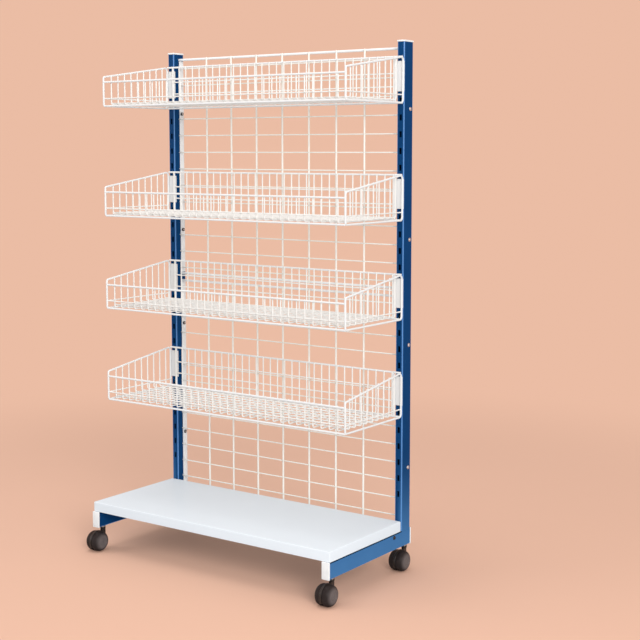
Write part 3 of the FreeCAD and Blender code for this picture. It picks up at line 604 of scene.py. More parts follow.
def add_turned(shape, profile, matrix, steps, marks=None):
    """Add a body turned about Z from (radius, height) pairs; a third number gives that ring flats.

    A profile that ends where it starts makes a ring with a bore, any other a closed body.
    """
    bored = profile[0] == profile[-1]
    if bored:
        profile = profile[:-1]
    points = []
    values = []
    rings = []
    for index, entry in enumerate(profile):
        radius, height = entry[:2]
        flats = entry[2] if len(entry) > 2 else 0
        mark = marks[index] if marks else 0.0
        if radius == 0:
            rings.append([len(points)])
            points.append((0.0, 0.0, height))
            values.append(mark)
            continue
        ring = []
        for step in range(steps):
            turn = 2 * math.pi * step / steps
            reach = radius
            if flats:
                sector = 2 * math.pi / flats
                reach = radius / math.cos((turn % sector) - sector / 2)
            ring.append(len(points))
            points.append((reach * math.cos(turn), reach * math.sin(turn), height))
            values.append(mark)
        rings.append(ring)
    if bored:
        rings.append(rings[0])
    faces = []
    for lower, upper in zip(rings, rings[1:]):
        for step in range(steps):
            beside = (step + 1) % steps
            if len(lower) == 1:
                faces.append((lower[0], upper[step], upper[beside]))
            elif len(upper) == 1:
                faces.append((lower[step], lower[beside], upper[0]))
            else:
                faces.append((lower[step], lower[beside], upper[beside], upper[step]))
    for ring in (rings[0], rings[-1]):
        if len(ring) > 1 and not bored:
            faces.append(tuple(ring))
    shape.add(points, faces, values, matrix)


def add_block(shape, low, high, edge, steps=3):
    """Add a block with rounded edges, marked along them."""
    low = Vector(low)
    high = Vector(high)
    work = bmesh.new()
    bmesh.ops.create_cube(work, size=1.0)
    for vertex in work.verts:
        vertex.co = (low + high) / 2 + vertex.co * (high - low)
    bmesh.ops.bevel(work, geom=work.edges[:], offset=edge, segments=steps, profile=0.5, affect="EDGES",
                    clamp_overlap=True)
    work.verts.index_update()
    points = [vertex.co.copy() for vertex in work.verts]
    faces = [[vertex.index for vertex in face.verts] for face in work.faces]
    work.free()
    marks = []
    rounded = edge * 0.95
    for point in points:
        depths = [min(point[axis] - low[axis], high[axis] - point[axis]) for axis in range(3)]
        near_faces = sum(depth < rounded for depth in depths)
        on_face = min(depths) < TOUCHING
        marks.append(1.0 if near_faces > 1 and not on_face else 0.0)
    shape.add(points, faces, marks)


def tube_outline(width, depth, radius, strip, front=1.0):
    """A rounded rectangle that starts with a strip of its front edge, and the marks of its corners."""
    points = [(-strip / 2, -depth / 2), (strip / 2, -depth / 2)]
    marks = [0.0, 0.0]
    corners = [(1, -1, -90), (1, 1, 0), (-1, 1, 90), (-1, -1, 180)]
    for across, along, start in corners:
        centre = (across * (width / 2 - radius), along * (depth / 2 - radius))
        mark = front if along < 0 else 1.0
        for step in range(CORNER_STEPS + 1):
            turn = math.radians(start + 90 * step / CORNER_STEPS)
            points.append((centre[0] + radius * math.cos(turn), centre[1] + radius * math.sin(turn)))
            marks.append(mark if 0 < step < CORNER_STEPS else 0.0)
    return points, marks


def add_tube(shape, width, depth, long, matrix, slots=(), front=1.0):
    """Add a rectangular tube along Z: slots through its front wall, and marks on its corners for the
    painted highlight, the front ones taking the front value, where minus one paints seam shade.
    """
    tubes = bpy.context.scene.shelving_tubes
    strip = tubes.slot_width
    wall = tubes.wall
    outer, marks = tube_outline(width, depth, tubes.corner, strip, front=front)
    inner_corner = max(tubes.corner - wall, wall / 2)
    inner, _ = tube_outline(width - 2 * wall, depth - 2 * wall, inner_corner, strip)
    levels = [0.0]
    for middle in sorted(slots):
        levels += [middle - tubes.slot_height / 2, middle + tubes.slot_height / 2]
    levels.append(long)
    round_count = len(outer)
    points = []
    values = []
    for level in levels:
        points += [(x, y, level) for x, y in outer]
        values += marks
        points += [(x, y, level) for x, y in inner]
        values += [0.0] * round_count
    ring = 2 * round_count
    faces = []
    for index in range(len(levels) - 1):
        slotted = index % 2 == 1
        here = index * ring
        above = here + ring
        for step in range(round_count):
            beside = (step + 1) % round_count
            if slotted and step == 0:
                continue
            for start in (0, round_count):
                faces.append((here + start + step, here + start + beside,
                              above + start + beside, above + start + step))
        if slotted:
            low_left, low_right = here, here + 1
            high_left, high_right = above, above + 1
            rim = (low_left, low_right, high_right, high_left)
            for first, second in zip(rim, rim[1:] + rim[:1]):
                faces.append((first, second, second + round_count, first + round_count))
    for end in (0, (len(levels) - 1) * ring):
        inside = end + round_count
        for step in range(round_count):
            beside = (step + 1) % round_count
            faces.append((end + step, end + beside, inside + beside, inside + step))
    shape.add(points, faces, values, matrix)


def add_bevel(piece, width):
    """Break a piece's sharp edges."""
    bevel = piece.modifiers.new("broken_edges", "BEVEL")
    bevel.width = width
    bevel.segments = BEVEL_STEPS
    bevel.limit_method = "ANGLE"
    bevel.angle_limit = BEVEL_ANGLE


class SHELVING_OT_posts(bpy.types.Operator):
    """Build the slotted posts and the legs they stand on"""

    bl_idname = "shelving.posts"
    bl_label = "Posts and legs"

    def execute(self, context):
        tubes = context.scene.shelving_tubes
        coat = blue_coat()
        for side in SIDES:
            node = f"{side}_post"
            low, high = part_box(node)
            size = high - low
            first = size.z - tubes.slot_drop
            count = math.floor((first - tubes.slot_base) / tubes.slot_pitch) + 1
            slots = [first - index * tubes.slot_pitch for index in range(count)]
            shape = Shape()
            place = Matrix.Translation(((low.x + high.x) / 2, (low.y + high.y) / 2, low.z))
            add_tube(shape, size.x, size.y, size.z, place, slots)
            self.add_welds(shape, low, high, tubes)
            post = shape.piece(f"{side}_post_tube", "frame", coat, "post_paint", [node])
            add_bevel(post, tubes.slot_edge)

            node = f"{side}_leg"
            low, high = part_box(node)
            size = high - low
            shape = Shape()
            lie = Matrix.Rotation(math.radians(-90), 4, "X")
            place = Matrix.Translation(((low.x + high.x) / 2, low.y, (low.z + high.z) / 2)) @ lie
            # front=-1 marks the leg's top corners for the painted seam shade
            add_tube(shape, size.x, size.z, size.y, place, front=-1.0)
            leg = shape.piece(f"{side}_leg_tube", "frame", coat, "post_paint", [node])
            add_bevel(leg, tubes.slot_edge)
        return {"FINISHED"}

    def add_welds(self, shape, low, high, tubes):
        """Welds, ground flush, that fill the leg's round corners under the post."""
        skin = 0.0001
        for outer in (low.x, high.x):
            inward = tubes.corner if outer == low.x else -tubes.corner
            across = sorted((outer + math.copysign(skin, inward), outer + inward))
            add_block(shape, (across[0], low.y + tubes.corner, low.z - tubes.corner),
                      (across[1], high.y - skin, low.z + tubes.wall), skin, 2)


class SHELVING_OT_caps(bpy.types.Operator):
    """Build the plastic caps in the ends of the posts and legs"""

    bl_idname = "shelving.caps"
    bl_label = "Tube caps"

    def execute(self, context):
        tubes = context.scene.shelving_tubes
        colours = context.scene.shelving_colours
        plastic = moulded("cap_white_plastic", colours.cap, tinted(colours.cap, 1.05), pebbles=1300.0,
                          roughness=0.38, relief=0.1)
        tops = Shape()
        ends = Shape()
        for side in SIDES:
            low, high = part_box(f"{side}_post")
            self.add_cap(tops, low, high, 2, 1, tubes)
            low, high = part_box(f"{side}_leg")
            self.add_cap(ends, low, high, 1, -1, tubes)
            self.add_cap(ends, low, high, 1, 1, tubes)
        tops.piece("post_cap_set", "frame", plastic, "white_plastic", ["post_caps"])
        ends.piece("leg_cap_set", "frame", plastic, "white_plastic", ["leg_caps"])
        return {"FINISHED"}

    def add_cap(self, shape, low, high, axis, outward, tubes):
        """A flange over a tube's end along an axis, and a plug inside the tube."""
        end = high[axis] if outward > 0 else low[axis]
        flange = (tubes.cap_flange, tubes.cap_over, tubes.cap_edge)
        plug = (-tubes.cap_plug, -tubes.wall * 1.1, tubes.cap_edge / 3)
        for reach, spare, edge in (flange, plug):
            start = Vector([value - spare for value in low])
            stop = Vector([value + spare for value in high])
            start[axis], stop[axis] = sorted((end, end + outward * reach))
            add_block(shape, start, stop, edge, 4)


class SHELVING_OT_deck(bpy.types.Operator):
    """Build the folded sheet deck with its bolting tabs"""

    bl_idname = "shelving.deck"
    bl_label = "Deck"

    def execute(self, context):
        tubes = context.scene.shelving_tubes
        coat = deck_coat()
        low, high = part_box("deck")
        base = high.z - tubes.deck_height
        shape = Shape()
        self.tray(shape, (low.x, low.y, base + tubes.deck_seam), high, tubes)
        inner_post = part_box("right_post")[0].x
        bolt_low, bolt_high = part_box("deck_bolts")
        middle = (bolt_low.y + bolt_high.y) / 2
        for sign in SIDES.values():
            across = sorted((sign * inner_post, sign * (inner_post - tubes.sheet)))
            add_block(shape, (across[0], middle - tubes.tab_width / 2, low.z),
                      (across[1], middle + tubes.tab_width / 2, high.z - tubes.sheet), FINE_EDGE, 2)
        shape.piece("deck_tray", "frame", coat, "deck_paint", ["deck"])
        return {"FINISHED"}

    def tray(self, shape, low, high, tubes):
        """A tray open below: an outer skin with round folds, and an inner skin a sheet inside it."""
        low = Vector(low)
        skins = []
        for inset in (0.0, tubes.sheet):
            radius = tubes.deck_edge - inset
            width = high.x - low.x - 2 * inset
            depth = high.y - low.y - 2 * inset
            top = high.z - inset
            rings = [(0.0, low.z), (0.0, top - radius)]
            for step in range(1, FOLD_STEPS + 1):
                turn = math.radians(90 * step / FOLD_STEPS)
                rings.append((radius * (1 - math.cos(turn)), top - radius + radius * math.sin(turn)))
            points = []
            marks = []
            for shrink, height in rings:
                corner = max(tubes.deck_edge * 1.2 - inset - shrink, FINE_EDGE / 2)
                outline, _ = tube_outline(width - 2 * shrink, depth - 2 * shrink, corner, width / 3)
                points += [(x, y, height) for x, y in outline]
                marks += [1.0 if 0 < shrink < radius else 0.0] * len(outline)
            skins.append((points, marks, len(outline), len(rings)))
        middle = Matrix.Translation(((low.x + high.x) / 2, (low.y + high.y) / 2, 0.0))
        points = skins[0][0] + skins[1][0]
        marks = skins[0][1] + skins[1][1]
        faces = []
        first = 0
        for own, _, around, count in skins:
            for ring in range(count - 1):
                for step in range(around):
                    beside = (step + 1) % around
                    here = first + ring * around
                    above = here + around
                    faces.append((here + step, here + beside, above + beside, above + step))
            faces.append(tuple(first + (count - 1) * around + step for step in range(around)))
            first += len(own)
        around = skins[0][2]
        second = len(skins[0][0])
        for step in range(around):
            beside = (step + 1) % around
            faces.append((step, beside, second + beside, second + step))
        shape.add(points, faces, marks, middle)


class SHELVING_OT_mesh_back(bpy.types.Operator):
    """Build the welded mesh panels between the posts, with their flat side bars"""

    bl_idname = "shelving.mesh_back"
    bl_label = "Mesh panels"

    def execute(self, context):
        wires = context.scene.shelving_wires
        colours = context.scene.shelving_colours
        # Painted light: a factor of 1.07 lifts the edge rods and bars, which sit in the baskets' shade
        smooth = rod_coat("mesh_edge_white_coat", 1.07)
        for panel in PANELS:
            mesh = Shape()
            low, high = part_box(f"{panel}_uprights")
            first_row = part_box(f"{panel}_rows")[0].z + wires.mesh_wire / 2
            first_column = low.x + wires.mesh_upright / 2
            coat = wire_coat(f"{panel}_white_coat", (wires.mesh_column, first_column),
                             (wires.mesh_row, first_row), 2, colours.mesh)
            y = (low.y + high.y) / 2
            columns = round((high.x - low.x - wires.mesh_upright) / wires.mesh_column)
            for column in range(columns + 1):
                x = first_column + column * wires.mesh_column
                add_bar(mesh, [(x, y, low.z), (x, y, high.z)], wires.mesh_upright, wires.sides + 2)
            low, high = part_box(f"{panel}_rows")
            y = (low.y + high.y) / 2
            rows = round((high.z - low.z - wires.mesh_wire) / wires.mesh_row)
            for row in range(rows + 1):
                z = low.z + wires.mesh_wire / 2 + row * wires.mesh_row
                add_bar(mesh, [(low.x, y, z), (high.x, y, z)], wires.mesh_wire, wires.sides)
            mesh.piece(f"{panel}_mesh", "frame", coat, "wire_paint",
                       [f"{panel}_uprights", f"{panel}_rows"])

            edge = Shape()
            low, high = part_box(f"{panel}_rods")
            y = (low.y + high.y) / 2
            for z in (low.z + wires.mesh_rod / 2, high.z - wires.mesh_rod / 2):
                add_bar(edge, [(low.x, y, z), (high.x, y, z)], wires.mesh_rod, wires.sides + 4)
            low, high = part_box(f"{panel}_side_bars")
            inner = high.x - wires.side_bar
            for sign in SIDES.values():
                across = sorted((sign * high.x, sign * inner))
                add_block(edge, (across[0], low.y, low.z), (across[1], high.y, high.z), wires.bar_edge)
            edge.piece(f"{panel}_edge", "frame", smooth, "wire_paint",
                       [f"{panel}_rods", f"{panel}_side_bars"])
        return {"FINISHED"}


class SHELVING_OT_fixings(bpy.types.Operator):
    """Build the bolts through the posts and legs, and their nuts"""

    bl_idname = "shelving.fixings"
    bl_label = "Bolts and nuts"

    def execute(self, context):
        sizes = context.scene.shelving_castors
        colours = context.scene.shelving_colours
        zinc = plated("bolt_zinc", colours.zinc, 0.22)
        dark = plated("nut_dark_steel", colours.dark_steel, 0.34)
        nuts = Shape()
        for node, material, slot in (("panel_bolts", zinc, "zinc"), ("deck_bolts", dark, "dark_steel")):
            bolts = Shape()
            for head, tip in self.places(node):
                self.add_bolt(bolts, head, tip, sizes)
                self.add_nut(nuts, head, tip, sizes)
            bolts.piece(f"{node}_turned", "frame", material, slot, [node])
        nuts.piece("hexagon_nuts", "frame", dark, "dark_steel", ["nuts"])
        return {"FINISHED"}

    def places(self, node):
        """Each bolt's outer seat and inner tip, read from its solids."""
        sizes = bpy.context.scene.shelving_castors
        points = [vertex.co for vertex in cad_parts[node].data.vertices]
        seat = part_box("right_post")[1].x
        outside = seat + sizes.head_height * 0.85
        found = []
        for sign in SIDES.values():
            rest = sorted((p for p in points if p.x * sign > outside), key=lambda point: point.z)
            while rest:
                group = [p for p in rest if p.z - rest[0].z < 1.5 * sizes.head]
                rest = rest[len(group):]
                y = (min(p.y for p in group) + max(p.y for p in group)) / 2
                z = (min(p.z for p in group) + max(p.z for p in group)) / 2
                tip = min(p.x * sign for p in points if abs(p.z - z) < sizes.head and p.x * sign > 0)
                found.append((Vector((sign * seat, y, z)), Vector((sign * tip, y, z))))
        if not found:
            raise RuntimeError(f"no bolt heads found in {node}")
        return found

    def add_bolt(self, shape, head, tip, sizes):
        """A domed head with a hexagon recess, and a plain shank."""
        outward = Vector((1.0, 0.0, 0.0)) * (1 if head.x > 0 else -1)
        place = Matrix.Translation(head) @ outward.to_track_quat("Z", "Y").to_matrix().to_4x4()
        radius = sizes.head / 2
        high = sizes.head_height
        dome = [(radius * 0.96, 0.0), (radius, high * 0.08), (radius, high * 0.3),
                (radius * 0.95, high * 0.55), (radius * 0.8, high * 0.82), (radius * 0.58, high * 0.97),
                (radius * 0.46, high)]
        recess = [(radius * 0.36, high * 0.97, 6), (radius * 0.34, high * 0.5, 6), (0.0, high * 0.45)]
        add_turned(shape, dome + recess, place, FIXING_STEPS)
        add_bar(shape, [head, tip], sizes.bolt, SHANK_STEPS)

    def add_nut(self, shape, head, tip, sizes):
        """A hexagon nut, chamfered on both sides."""
        inward = (tip - head).normalized()
        place = Matrix.Translation(tip - inward * (sizes.nut_height + sizes.bolt_end))
        place = place @ inward.to_track_quat("Z", "Y").to_matrix().to_4x4()
        half = sizes.nut / 2
        bore = sizes.bolt / 2
        high = sizes.nut_height
        profile = [(bore, 0.0), (half, 0.0), (half, high * 0.08, 6), (half, high * 0.88, 6),
                   (half * 0.98, high), (bore * 1.1, high), (bore, high * 0.9)]
        add_turned(shape, profile, place, FIXING_STEPS)


class SHELVING_OT_baskets(bpy.types.Operator):
    """Build the wire baskets: side loops, rails and the bent wires of the floor and walls"""

    bl_idname = "shelving.baskets"
    bl_label = "Baskets"

    def execute(self, context):
        wires = context.scene.shelving_wires
        low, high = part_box(f"{BASKETS[0]}_frame")
        front = low.y + wires.rod / 2
        rear = high.y - wires.rod / 2
        half = high.x - wires.rod / 2
        pitch_x = 2 * half / wires.cells_across
        pitch_y = (rear - front) / wires.cells_deep
        coat = wire_coat("basket_white_coat", (pitch_x, 0.0), (pitch_y, front), 1,
                         context.scene.shelving_colours.wire)
        smooth = rod_coat("loop_white_coat", 1.0)
        for basket in BASKETS:
            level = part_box(f"{basket}_frame")[0].z + wires.rod / 2
            self.add_frame(basket, level, front, rear, half, wires, smooth)
            self.add_wires(basket, level, front, rear, half, pitch_x, pitch_y, wires, coat)
        return {"FINISHED"}

    def add_frame(self, basket, level, front, rear, half, wires, coat):
        """A loop on each side, two uprights at the back and four rails across."""
        shape = Shape()
        sides = wires.sides + 2
        for sign in SIDES.values():
            x = sign * half
            corners = [(x, front, level), (x, front, level + wires.front_height),
                       (x, rear, level + wires.rear_height), (x, rear, level)]
            bends = [wires.front_bend, wires.front_bend, wires.loop_bend, wires.loop_bend]
            loop = bent_path(corners, bends, wires.bend_steps + 1, True)
            add_bar(shape, loop, wires.rod, sides, True)
            inner = sign * (half - wires.inner_upright)
            add_bar(shape, [(inner, rear, level + wires.rod / 2),
                            (inner, rear, level + wires.rear_height - wires.rod / 2)], wires.rod, sides)
        reach = half - wires.rod / 4
        for y, z in ((front, level), (rear, level), (front, level + wires.front_rail),
                     (rear, level + wires.rear_height)):
            add_bar(shape, [(-reach, y, z), (reach, y, z)], wires.rod, sides)
        shape.piece(f"{basket}_loops", basket, coat, "wire_paint", [f"{basket}_frame"])

    def add_wires(self, basket, level, front, rear, half, pitch_x, pitch_y, wires, coat):
        """Wires bent up from the floor at both ends, the band round the basket and the back wires."""
        shape = Shape()
        thick = wires.wire
        inset = wires.rod / 2 + thick / 2
        floor = level + inset
        top = wires.rod / 2
        bends = [0.0, wires.wire_bend, wires.wire_bend, 0.0]
        for column in range(1, wires.cells_across):
            x = column * pitch_x - half
            corners = [(x, front + inset, level + top + wires.front_rail), (x, front + inset, floor),
                       (x, rear - inset, floor), (x, rear - inset, level + top + wires.rear_height)]
            add_bar(shape, bent_path(corners, bends, wires.bend_steps), thick, wires.sides)
        for line in range(1, wires.cells_deep):
            y = front + line * pitch_y
            slope = (wires.rear_height - wires.front_height) / wires.cells_deep
            rise = wires.front_height + slope * line
            x = half - inset
            corners = [(-x, y, level + top + rise), (-x, y, floor + thick),
                       (x, y, floor + thick), (x, y, level + top + rise)]
            add_bar(shape, bent_path(corners, bends, wires.bend_steps), thick, wires.sides)
        band = level + wires.band
        near = wires.rod / 2 - thick / 2
        add_bar(shape, [(-half, front + near, band), (half, front + near, band)], thick, wires.sides)
        for sign in SIDES.values():
            x = sign * (half - near)
            add_bar(shape, [(x, front, band), (x, rear, band)], thick, wires.sides)
        reach = half - wires.inner_upright
        y = rear - near
        for z in (level + wires.back_low, level + wires.back_high):
            add_bar(shape, [(-reach, y, z), (reach, y, z)], thick, wires.sides)
        shape.piece(f"{basket}_wires", basket, coat, "wire_paint",
                    [f"{basket}_{part}_wires" for part in ("floor", "front", "back", "side")])


class SHELVING_OT_hooks(bpy.types.Operator):
    """Build the hook plates that hang the baskets in the posts' slots"""

    bl_idname = "shelving.hooks"
    bl_label = "Hook plates"

    def execute(self, context):
        wires = context.scene.shelving_wires
        tubes = context.scene.shelving_tubes
        # Painted shade: a factor of 0.9 darkens the hook plates, which face the lamps
        coat = rod_coat("hook_white_coat", 0.9)
        post_low, post_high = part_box("right_post")
        middle = (post_low.x + post_high.x) / 2
        overlap = 0.001
        for basket in BASKETS:
            low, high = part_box(f"{basket}_hooks")
            inner = self.plate_inner(f"{basket}_hooks")
            shape = Shape()
            for sign in SIDES.values():
                across = sorted((sign * high.x, sign * inner))
                back = low.y + wires.hook_plate
                add_block(shape, (across[0], low.y, low.z), (across[1], back, high.z),
                          wires.bar_edge * 1.6, 4)
                lug_low = sign * middle - wires.lug_thick / 2
                lug_high = sign * middle + wires.lug_thick / 2
                top_seat = self.seat(high.z, post_high.z, tubes)
                for seat in (top_seat, top_seat - tubes.slot_pitch):
                    add_block(shape, (lug_low, back - SUNK, seat),
                              (lug_high, high.y, seat + wires.lug_arm), FINE_EDGE, 2)
                    add_block(shape, (lug_low, high.y - wires.lug_nose, seat - wires.lug_drop),
                              (lug_high, high.y, seat + overlap), FINE_EDGE, 2)
            shape.piece(f"{basket}_hook_plates", basket, coat, "wire_paint", [f"{basket}_hooks"])
        return {"FINISHED"}

    def plate_inner(self, node):
        """The inner edge of a node's plates, from the middle of the unit."""
        return min(abs(vertex.co.x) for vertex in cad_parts[node].data.vertices)

    def seat(self, plate_top, post_top, tubes):
        """Just over the lower edge of the highest slot that lies behind a plate."""
        clear = 0.0001
        middle = post_top - tubes.slot_drop
        while middle + tubes.slot_height / 2 > plate_top:
            middle -= tubes.slot_pitch
        return middle - tubes.slot_height / 2 + clear


class SHELVING_OT_castors(bpy.types.Operator):
    """Build the twin-wheel castors and the sockets they turn in"""

    bl_idname = "shelving.castors"
    bl_label = "Castors"

    def execute(self, context):
        sizes = context.scene.shelving_castors
        colours = context.scene.shelving_colours
        brown = moulded("wheel_brown_plastic", colours.wheel, colours.wheel_rim_shade, pebbles=900.0,
                        roughness=0.30, relief=0.16, shine=0.12)
        black = moulded("housing_black_plastic", colours.housing, tinted(colours.housing, 2.2),
                        pebbles=1100.0, roughness=0.34, relief=0.12)
        zinc = plated("stem_zinc", colours.zinc, 0.26)
        sockets = Shape()
        for castor in CASTORS:
            low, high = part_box(f"{castor}_wheels")
            axle = Vector(((low.x + high.x) / 2, (low.y + high.y) / 2, (low.z + high.z) / 2))
            low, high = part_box(f"{castor}_stem")
            stem = Vector(((low.x + high.x) / 2, (low.y + high.y) / 2, low.z))
            self.add_wheels(castor, axle, sizes, brown)
            self.add_housing(castor, axle, stem, sizes, black)
            self.add_socket(sockets, stem, sizes)
            for part in ("stem", "axle"):
                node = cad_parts[f"{castor}_{part}"]
                node.data.materials.clear()
                node.data.materials.append(zinc)
        sockets.piece("castor_socket_set", "frame", black, "black_plastic", ["castor_sockets"])
        return {"FINISHED"}

    def add_wheels(self, castor, axle, sizes, material):
        """Two wheels with round outer sides, a grooved inner side and a dished hub."""
        shape = Shape()
        radius = sizes.wheel_radius
        wide = sizes.wheel_width
        bend = sizes.wheel_round
        bore = 0.0045
        groove = 0.0012
        profile = [(bore, 0.0), (radius * 0.62, 0.0), (radius * 0.66, groove), (radius * 0.86, groove),
                   (radius * 0.9, 0.0), (radius * 0.985, 0.0), (radius, groove / 2)]
        steps = 9
        for step in range(steps + 1):
            turn = math.radians(90 * step / steps)
            profile.append((radius - bend + bend * math.cos(turn), wide - bend + bend * math.sin(turn)))
        face = radius - bend
        ring = wide - 0.0009
        hub = wide - 0.0008
        profile += [(face * 0.93, wide), (face * 0.88, ring), (face * 0.79, ring),
                    (face * 0.74, wide - SUNK), (face * 0.36, wide), (face * 0.3, hub), (0.0, hub)]
        # Painted shade: the marks run the wheel's outer side from its brown face to the dark rim
        # colour, darkening it toward its outline
        brown_to = face * 1.1
        black_from = radius * 0.88
        marks = []
        for reach, _ in profile:
            share = (reach - brown_to) / (black_from - brown_to)
            marks.append(min(1.0, max(0.0, share)))
        for sign in SIDES.values():
            outward = Vector((sign, 0.0, 0.0))
            seat = axle + outward * (sizes.web / 2 + sizes.wheel_gap)
            place = Matrix.Translation(seat) @ outward.to_track_quat("Z", "Y").to_matrix().to_4x4()
            add_turned(shape, profile, place, WHEEL_STEPS, marks)
        shape.piece(f"{castor}_wheel_set", f"{castor}_wheel_pair", material, "wheel_plastic",
                    [f"{castor}_wheels"])

    def add_housing(self, castor, axle, stem, sizes, material):
        """A plate between the wheels, its neck, and the boss that holds the stem."""
        outer = sizes.wheel_radius + sizes.rib
        boss = sizes.boss / 2
        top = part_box(f"{castor}_housing")[1].z
        neck_top = 2 * sizes.wheel_radius + sizes.boss_gap - axle.z
        trail = stem.y - axle.y
        start = math.asin((sizes.clear - axle.z) / outer)
        under = math.asin(sizes.neck_low / outer)
        over = math.acos((trail - boss) / outer)
        outline = self.arc(outer, start, under, 8)
        outline += [(trail + boss, sizes.neck_low), (trail + boss, neck_top), (trail - boss, neck_top)]
        outline += self.arc(outer, over, math.pi - start, 24)
        work = bmesh.new()
        left = [work.verts.new((-sizes.web / 2, y, z)) for y, z in outline]
        right = [work.verts.new((sizes.web / 2, y, z)) for y, z in outline]
        count = len(outline)
        work.faces.new(left)
        work.faces.new(right)
        for step in range(count):
            beside = (step + 1) % count
            work.faces.new((left[step], left[beside], right[beside], right[step]))
        bmesh.ops.recalc_face_normals(work, faces=work.faces)
        rims = [edge for edge in work.edges
                if abs(edge.verts[0].co.x - edge.verts[1].co.x) < TOUCHING]
        rounding = 0.0014
        bmesh.ops.bevel(work, geom=rims, offset=rounding, segments=3, profile=0.5, affect="EDGES")
        work.verts.index_update()
        points = [vertex.co.copy() for vertex in work.verts]
        faces = [[vertex.index for vertex in face.verts] for face in work.faces]
        work.free()
        shape = Shape()
        shape.add(points, faces, None, Matrix.Translation(axle))
        base = axle.z + neck_top
        tall = top - base
        foot = -0.001
        recess = 0.0056
        recess_floor = tall - 0.0038
        profile = [(0.0, foot), (boss * 0.86, foot), (boss * 0.97, FINE_EDGE), (boss, 3 * FINE_EDGE),
                   (boss, tall * 0.62), (boss * 0.97, tall * 0.82), (boss * 0.88, tall),
                   (recess, tall), (recess, recess_floor), (0.0, recess_floor)]
        add_turned(shape, profile, Matrix.Translation((stem.x, stem.y, base)), BOSS_STEPS)
        shape.piece(f"{castor}_shell", f"{castor}_swivel", material, "black_plastic",
                    [f"{castor}_housing"])

    def arc(self, radius, start, end, steps):
        """Points round the axle from one angle to another."""
        turns = [start + (end - start) * step / steps for step in range(steps + 1)]
        return [(radius * math.cos(turn), radius * math.sin(turn)) for turn in turns]

    def add_socket(self, shape, stem, sizes):
        """A flanged bush that the stem turns in."""
        low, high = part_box("castor_sockets")
        bore = sizes.stem_hole / 2
        outer = sizes.socket / 2
        flange = sizes.socket_flange_size / 2
        tall = high.z - low.z
        thick = sizes.socket_flange
        lead = 0.001
        profile = [(bore, 0.0), (flange * 0.94, 0.0), (flange, FINE_EDGE), (flange, thick * 0.7),
                   (flange * 0.95, thick), (outer, thick), (outer, tall - lead), (outer - lead, tall),
                   (bore, tall), (bore, 0.0)]
        add_turned(shape, profile, Matrix.Translation((stem.x, stem.y, low.z)), BOSS_STEPS)


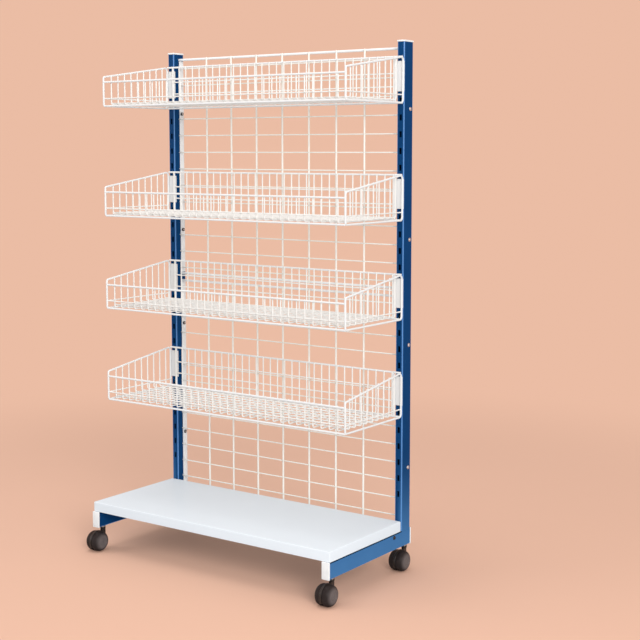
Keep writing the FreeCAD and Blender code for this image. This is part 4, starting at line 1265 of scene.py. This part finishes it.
class SHELVING_OT_stage(bpy.types.Operator):
    """Set the floor, the studio light and the camera"""

    bl_idname = "shelving.stage"
    bl_label = "Stage"

    def execute(self, context):
        stage = context.scene.shelving_stage
        floor_colour = opaque(context.scene.shelving_colours.floor)
        self.add_floor(context, stage, floor_colour)
        self.set_world(context, stage, floor_colour)
        for name, place, size in LAMPS:
            self.add_light(f"{name}_light", place, size, getattr(stage, name))
        self.add_camera(context, stage)
        context.scene.view_settings.view_transform = "Standard"
        return {"FINISHED"}

    def add_floor(self, context, stage, floor_colour):
        """A wide floor that passes into the backdrop away from the unit."""
        ends = ((-1, -1), (1, -1), (1, 1), (-1, 1))
        corners = [(x * FLOOR_REACH, y * FLOOR_REACH, 0.0) for x, y in ends]
        mesh = bpy.data.meshes.new("studio_floor")
        mesh.from_pydata(corners, [], [(0, 1, 2, 3)])
        finish = Finish("floor_pale", {"Roughness": 0.9, "Specular IOR Level": 0.1})
        place = finish.place()
        away = finish.node("ShaderNodeVectorMath", {"operation": "LENGTH"}, {0: place}, "Value")
        far = finish.ease(away, start=stage.fade_start, end=stage.fade_end)
        path = seen_rays(finish)
        bounce = opaque(context.scene.shelving_colours.floor_bounce)
        finish.drive("Base Color", finish.mix(path, bounce, floor_colour))
        lit = Shade(finish, finish.shader.outputs[0])
        glow = finish.node("ShaderNodeEmission", None, {"Color": floor_colour, "Strength": 1.0})
        mixed = finish.node("ShaderNodeMixShader", None, {0: far * path, 1: lit, 2: glow})
        surface = finish.tree.nodes["Material Output"].inputs["Surface"]
        finish.tree.links.new(mixed.output, surface)
        mesh.materials.append(finish.material)
        floor = bpy.data.objects.new("studio_floor", mesh)
        context.scene.collection.objects.link(floor)

    def set_world(self, context, stage, floor_colour):
        """Plain light from all round, with the backdrop's colour behind the floor."""
        world = bpy.data.worlds.new("studio_world")
        world.use_nodes = True
        context.scene.world = world
        finish = Finish.around(world)
        plain = finish.node("ShaderNodeBackground", None, {"Color": WHITE, "Strength": stage.ambient})
        backdrop = finish.node("ShaderNodeBackground", None, {"Color": floor_colour, "Strength": 1.0})
        mixed = finish.node("ShaderNodeMixShader", None, {0: seen_rays(finish), 1: plain, 2: backdrop})
        finish.tree.links.new(mixed.output, finish.tree.nodes["World Output"].inputs["Surface"])

    def add_light(self, name, place, size, power):
        """A round lamp that points at the unit."""
        light = bpy.data.lights.new(name, "AREA")
        light.shape = "DISK"
        light.size = size
        light.energy = power
        made = bpy.data.objects.new(name, light)
        bpy.context.scene.collection.objects.link(made)
        made.location = place
        made.rotation_euler = (LAMP_TARGET - Vector(place)).to_track_quat("-Z", "Y").to_euler()

    def add_camera(self, context, stage):
        """The camera at the photograph's angle."""
        camera = bpy.data.cameras.new("photo_camera")
        camera.lens = stage.lens
        camera.sensor_width = FILM_WIDTH
        camera.shift_y = stage.shift
        camera.clip_end = SIGHT
        made = bpy.data.objects.new("photo_camera", camera)
        context.scene.collection.objects.link(made)
        made.location = stage.camera
        made.rotation_euler = (math.pi / 2 - stage.pitch, 0.0, stage.yaw)
        context.scene.camera = made


OPERATORS = (
    SHELVING_OT_posts,
    SHELVING_OT_caps,
    SHELVING_OT_deck,
    SHELVING_OT_mesh_back,
    SHELVING_OT_fixings,
    SHELVING_OT_baskets,
    SHELVING_OT_hooks,
    SHELVING_OT_castors,
    SHELVING_OT_stage,
)


class SHELVING_PT_panel(bpy.types.Panel):
    """The unit's pieces and their sizes and colours"""

    bl_idname = "SHELVING_PT_panel"
    bl_label = "Basket Shelving Unit"
    bl_space_type = "VIEW_3D"
    bl_region_type = "UI"
    bl_category = "Shelving"

    def draw(self, context):
        column = self.layout.column()
        for operator in OPERATORS:
            column.operator(operator.bl_idname)
        for name, group in GROUPS.items():
            box = self.layout.box()
            box.label(text=group.__doc__)
            for prop in group.__annotations__:
                box.prop(getattr(context.scene, name), prop)


def register():
    for name, group in GROUPS.items():
        bpy.utils.register_class(group)
        setattr(bpy.types.Scene, name, PointerProperty(type=group))
    for operator in OPERATORS:
        bpy.utils.register_class(operator)
    bpy.utils.register_class(SHELVING_PT_panel)


def unregister():
    bpy.utils.unregister_class(SHELVING_PT_panel)
    for operator in reversed(OPERATORS):
        bpy.utils.unregister_class(operator)
    for name, group in reversed(GROUPS.items()):
        delattr(bpy.types.Scene, name)
        bpy.utils.unregister_class(group)


def main():
    register()
    bpy.ops.shelving.posts()
    bpy.ops.shelving.caps()
    bpy.ops.shelving.deck()
    bpy.ops.shelving.mesh_back()
    bpy.ops.shelving.fixings()
    bpy.ops.shelving.baskets()
    bpy.ops.shelving.hooks()
    bpy.ops.shelving.castors()
    bpy.ops.shelving.stage()


if __name__ == "__main__":
    main()
